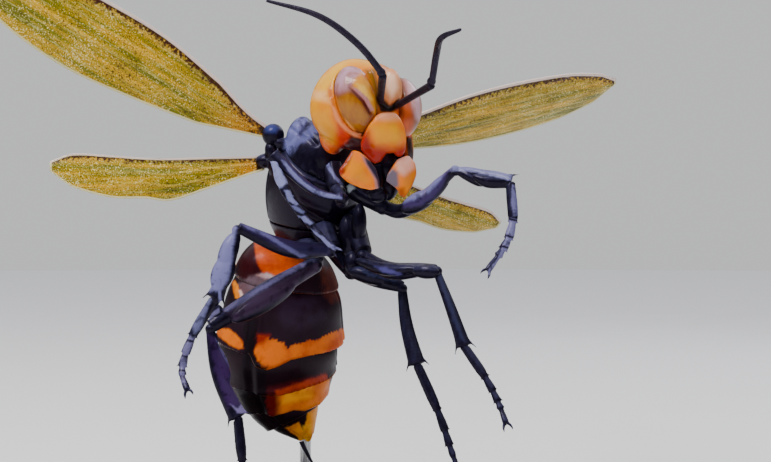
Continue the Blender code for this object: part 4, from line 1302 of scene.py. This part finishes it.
# Forms melted into the legs: pixel, depth, radii, and turn in degrees.
LEG_FORMS = {
    "hindleg_right_femur": (
        (264, 301, -27.6, (12.5, 3.0, 3.4), (0, -26, 35)),
        (215, 312, -31.8, (2.6, 1.6, 2.4), (0, -30, 0)),
    ),
    "hindleg_right_tibia": ((221, 364, -34.2, (2.2, 1.7, 6.5), (-11, -21, 0)),),
    "foreleg_left_femur": (
        (418, 202, -32.4, (6.0, 2.4, 2.9), (0, -26, -20)),
        (436, 189, -35.6, (6.0, 2.1, 2.2), (0, -46, -20)),
    ),
    "foreleg_left_tibia": (
        (492, 179, -44.6, (6.0, 1.8, 1.9), (0, 18, -8)),
        (470, 175.5, -41.0, (5.0, 1.5, 1.5), (0, 19, -22)),
    ),
    "foreleg_right_foot": ((279.5, 177, -37.4, (1.6, 1.3, 4.0), (-14, -18, 0)),),
    "midleg_right_tibia": (
        (228.5, 252, -35.4, (2.8, 1.8, 6.2), (-13, 19, 0)),
        (223, 273, -36.8, (3.4, 1.8, 5.8), (-13, 19, 0)),
        (216, 298, -38.3, (1.5, 1.4, 2.6), (0, 10, 0)),
    ),
    "midleg_left_coxa": (
        (350, 238, -13.5, (3.6, 3.4, 7.5), (0, -6, 0)),
        (359, 224, -16.0, (2.4, 3.0, 6.4), (0, 2, 0)),
    ),
    "midleg_left_femur": (
        (386, 263, -29.6, (11.0, 2.4, 2.0), (0, 7, -30)),
        (426, 271, -35.6, (4.4, 2.2, 2.2), (0, 8, -20)),
    ),
    "hindleg_left_coxa": ((353, 264, -16.0, (3.0, 3.0, 4.2), (0, 0, 0)),),
    "hindleg_left_femur": ((369, 276, -20.4, (7.0, 2.4, 2.5), (0, 14, -12)),),
}
# Where a leg's piece hangs lower than its solid: column of pixels, softness in pixels, drop.
SAGS = {"midleg_left_femur": (384, 26, 1.9), "foreleg_left_tibia": (482, 15, 1.2)}


class HORNET_OT_legs(bpy.types.Operator):
    """Six legs of hip, thigh, shin and foot"""

    bl_idname = "hornet.legs"
    bl_label = "Legs"

    def execute(self, context):
        for place in ("foreleg", "midleg", "hindleg"):
            for side in ("left", "right"):
                self.leg(f"{place}_{side}")
        return {"FINISHED"}

    def leg(self, name):
        """Each piece after the hip carries the ball of its own joint."""
        before = None
        for part, radius in LEG_PARTS:
            node = f"{name}_{part}"
            extras = [ball(joint_between(before, node), radius)] if before else []
            extras += lumps(LEG_FORMS.get(node, ()))
            piece = dressed(node, sizes().leg_grain, LIMB_ROUNDS, LIMB_SHARP, extras)
            if node in SAGS:
                sag(piece, *SAGS[node])
            painted_violet(piece, node)
            before = node


# Wings, by the same routes and outlines as the solids: root, tip and the way of the chord.
WINGS = {
    "forewing_right": ((-9.6, -7.0, 131.0), (-96.7, -35.0, 184.6), (-0.53, 0.0, -0.85)),
    "forewing_left": ((18.6, 6.0, 129.8), (109.2, 46.0, 153.9), (0.10, 0.79, -0.60)),
    "hindwing_right": ((-11.0, -4.6, 122.8), (-77.0, -14.0, 121.9), (0.0, -0.1, -1.0)),
    "hindwing_left": ((17.2, 8.6, 122.4), (68.4, 42.0, 104.0), (-0.25, 0.62, -0.74)),
}
WIDEST_CHORD = 26.0
# Profiles: share of the span, then where the front and rear edges lie along the chord.
FOREWING_ROOT = ((0.00, -1.8, 1.8), (0.09, -2.8, 5.2), (0.20, -6.0, 9.4))
FOREWING_RIGHT_PROFILE = (
    *FOREWING_ROOT, (0.40, -9.0, 13.2), (0.60, -8.6, 15.8), (0.80, -6.4, 14.4), (0.93, -3.4, 9.6),
    (1.00, 0.6, 3.4))
FOREWING_LEFT_PROFILE = (
    *FOREWING_ROOT, (0.40, -9.6, 13.0), (0.60, -10.2, 13.8), (0.80, -8.6, 12.0), (0.93, -5.2, 7.8),
    (1.00, -1.2, 1.4))
HINDWING_PROFILE = (
    (0.00, -1.2, 3.4), (0.12, -1.0, 6.0), (0.30, -0.8, 10.0), (0.45, -0.6, 13.0), (0.56, -0.8, 12.2),
    (0.72, -1.6, 11.8), (0.90, -2.2, 8.4), (1.00, 0.2, 3.4))
# Veins: points of (share of the span, share of the chord), then half width and height.
FOREWING_VEINS = (
    (((0.00, 0.30), (0.10, 0.22), (0.25, 0.16), (0.45, 0.13), (0.66, 0.12), (0.78, 0.05)), 0.55, 0.34),
    (((0.00, 0.55), (0.10, 0.50), (0.28, 0.42), (0.42, 0.36), (0.56, 0.33), (0.72, 0.27), (0.86, 0.20)),
     0.45, 0.30),
    (((0.10, 0.52), (0.24, 0.55), (0.40, 0.56), (0.55, 0.53), (0.70, 0.50), (0.88, 0.46)), 0.42, 0.26),
    (((0.06, 0.72), (0.18, 0.76), (0.32, 0.80), (0.46, 0.80), (0.60, 0.74), (0.74, 0.72)), 0.40, 0.24),
    (((0.44, 0.36), (0.50, 0.44), (0.52, 0.54)), 0.34, 0.20),
    (((0.66, 0.12), (0.64, 0.20), (0.66, 0.29)), 0.34, 0.20),
    (((0.30, 0.56), (0.33, 0.68), (0.34, 0.80)), 0.34, 0.20),
)
HINDWING_VEINS = (
    (((0.00, 0.25), (0.15, 0.16), (0.35, 0.10), (0.60, 0.06)), 0.50, 0.30),
    (((0.00, 0.50), (0.18, 0.40), (0.36, 0.38), (0.56, 0.40), (0.80, 0.42)), 0.42, 0.26),
    (((0.14, 0.60), (0.26, 0.66), (0.40, 0.68), (0.56, 0.64), (0.72, 0.66)), 0.40, 0.24),
)
VEIN_STEPS = 8
# Each wing's profile and veins, and how many times narrower the brown of its front edge is than a forewing's.
WING_FORMS = {
    "forewing_right": (FOREWING_RIGHT_PROFILE, FOREWING_VEINS, 1.0),
    "forewing_left": (FOREWING_LEFT_PROFILE, FOREWING_VEINS, 1.0),
    "hindwing_right": (HINDWING_PROFILE, HINDWING_VEINS, 1.7),
    "hindwing_left": (HINDWING_PROFILE, HINDWING_VEINS, 1.7),
}
# A wing arches across its chord, most at a place along its span, and is flat again past the tip.
CAMBER = 3.0
CAMBER_END = 1.3
# The bead round the rim, and the share of the span that counts as root.
BEAD_HEIGHT = 0.30
BEAD_WIDTH = 0.7
ROOT_SHARE = 0.22


def smooth_profile(rows, shares):
    """A Catmull-Rom curve through the rows, read at shares of the span."""
    rows = np.array(rows)
    padded = np.vstack([2 * rows[0] - rows[1], rows, 2 * rows[-1] - rows[-2]])
    read = []
    for share in shares:
        k = int(np.clip(np.searchsorted(rows[:, 0], share, side="right") - 1, 0, len(rows) - 2))
        t = (share - rows[k, 0]) / (rows[k + 1, 0] - rows[k, 0])
        before, start, end, after = padded[k:k + 4]
        read.append(0.5 * (2 * start + (end - before) * t + (2 * before - 5 * start + 4 * end - after) * t**2
                           + (3 * start - before - 3 * end + after) * t**3))
    return np.array(read)[:, 1:]


def vein_heights(flat, veins, outline):
    """Ridge height at each place of a wing laid flat, in millimetres, and its share of the highest."""
    height = np.zeros(len(flat))
    crest = np.zeros(len(flat))
    for points, half_width, tall in veins:
        line = []
        for near, far in zip(points, points[1:]):
            for step in range(VEIN_STEPS):
                span = near[0] + (far[0] - near[0]) * step / VEIN_STEPS
                chord = near[1] + (far[1] - near[1]) * step / VEIN_STEPS
                line.append(outline(span, chord))
        line.append(outline(*points[-1]))
        ridge = fade(distance_to_line(flat, np.array(line)), half_width)
        height = np.maximum(height, ridge * tall)
        crest = np.maximum(crest, ridge)
    return height, crest


class HORNET_OT_wings(bpy.types.Operator):
    """Four veined wings of amber film"""

    bl_idname = "hornet.wings"
    bl_label = "Wings"

    def execute(self, context):
        for node in WINGS:
            self.wing(context, node)
        return {"FINISHED"}

    def wing(self, context, node):
        """A grid laid along the wing's route, cut to its outline, ribbed with veins and made thick."""
        profile, veins, lead_scale = WING_FORMS[node]
        root, tip, chord = (np.array(value, float) for value in WINGS[node])
        span = tip - root
        length = float(np.linalg.norm(span))
        chord -= span * (chord @ span) / (span @ span)
        chord /= np.linalg.norm(chord)
        normal = np.cross(span, chord)
        normal *= -math.copysign(1.0, normal[1]) / np.linalg.norm(normal)
        rows = int(length * MM / sizes().wing_grain)
        columns = int(WIDEST_CHORD * MM / sizes().wing_grain)
        deselect()
        bpy.ops.mesh.primitive_grid_add(x_subdivisions=rows, y_subdivisions=columns, size=1.0)
        piece = context.object
        piece.name = piece.data.name = f"{node}_film"
        shares = points_of(piece)[:, :2] + 0.5
        edges = smooth_profile(profile, np.linspace(0.0, 1.0, rows + 1))
        stations = np.round(shares[:, 0] * rows).astype(int)
        lead, trail = edges[stations].T
        across = shares[:, 1]
        flat_x = shares[:, 0] * length
        flat_y = lead + (trail - lead) * across

        def outline(spanwise, chordwise):
            first, last = smooth_profile(profile, [spanwise])[0]
            return (spanwise * length, first + (last - first) * chordwise)

        height, crest = vein_heights(np.column_stack([flat_x, flat_y]), veins, outline)
        rim = np.minimum(np.minimum(flat_y - lead, trail - flat_y), (1.0 - shares[:, 0]) * length)
        arch = CAMBER * np.sin(np.pi * across) * shares[:, 0] * (CAMBER_END - shares[:, 0])
        relief = np.maximum(height, BEAD_HEIGHT * fade(rim, BEAD_WIDTH))
        places = root + span * shares[:, :1] + chord * flat_y[:, None] + normal * (arch + relief)[:, None]
        put_points(piece, places * MM)
        lay = np.column_stack([flat_x, flat_y, np.zeros(len(flat_x))]) * MM
        put_attribute(piece, "lay", lay, "FLOAT_VECTOR", "vector")
        put_attribute(piece, "vein", crest)
        put_attribute(piece, "lead_mm", (flat_y - lead) * lead_scale)
        put_attribute(piece, "rim_mm", rim)
        put_attribute(piece, "root", np.clip(1.0 - shares[:, 0] / ROOT_SHARE, 0.0, 1.0))
        apply_modifier(piece, "film", "SOLIDIFY", thickness=sizes().film, offset=-1.0)
        bpy.ops.object.mode_set(mode="EDIT")
        bpy.ops.mesh.select_all(action="SELECT")
        bpy.ops.mesh.normals_make_consistent(inside=False)
        bpy.ops.object.mode_set(mode="OBJECT")
        settle(piece, "film", node)


class HORNET_OT_stand(bpy.types.Operator):
    """The stand's base and rod keep their solids' shape and get their finish"""

    bl_idname = "hornet.stand"
    bl_label = "Stand"

    def execute(self, context):
        for node, key in (("stand_base", "stand"), ("stand_rod", "rod")):
            solid = frame["nodes"][node]
            solid.data.materials.clear()
            solid.data.materials.append(material(key))
        return {"FINISHED"}


STEPS = (
    HORNET_OT_stage,
    HORNET_OT_head,
    HORNET_OT_eyes,
    HORNET_OT_face,
    HORNET_OT_antennae,
    HORNET_OT_thorax,
    HORNET_OT_abdomen,
    HORNET_OT_legs,
    HORNET_OT_wings,
    HORNET_OT_stand,
)


class HORNET_PT_sidebar(bpy.types.Panel):
    """Lists the figure's sizes, paints and steps"""

    bl_idname = "HORNET_PT_sidebar"
    bl_label = "Giant hornet"
    bl_space_type = "VIEW_3D"
    bl_region_type = "UI"
    bl_category = "Hornet"

    def draw(self, context):
        for group in (context.scene.hornet_sizes, context.scene.hornet_colours):
            for key in group.bl_rna.properties.keys():
                if key not in ("rna_type", "name"):
                    self.layout.prop(group, key)
        for step in STEPS:
            self.layout.operator(step.bl_idname)


CLASSES = (HornetSizes, HornetColours, *STEPS, HORNET_PT_sidebar)


def register():
    for item in CLASSES:
        bpy.utils.register_class(item)
    bpy.types.Scene.hornet_sizes = bpy.props.PointerProperty(type=HornetSizes)
    bpy.types.Scene.hornet_colours = bpy.props.PointerProperty(type=HornetColours)


def unregister():
    del bpy.types.Scene.hornet_colours
    del bpy.types.Scene.hornet_sizes
    for item in reversed(CLASSES):
        bpy.utils.unregister_class(item)


def main():
    register()
    for step in STEPS:
        group, name = step.bl_idname.split(".")
        getattr(getattr(bpy.ops, group), name)()


if __name__ == "__main__":
    main()
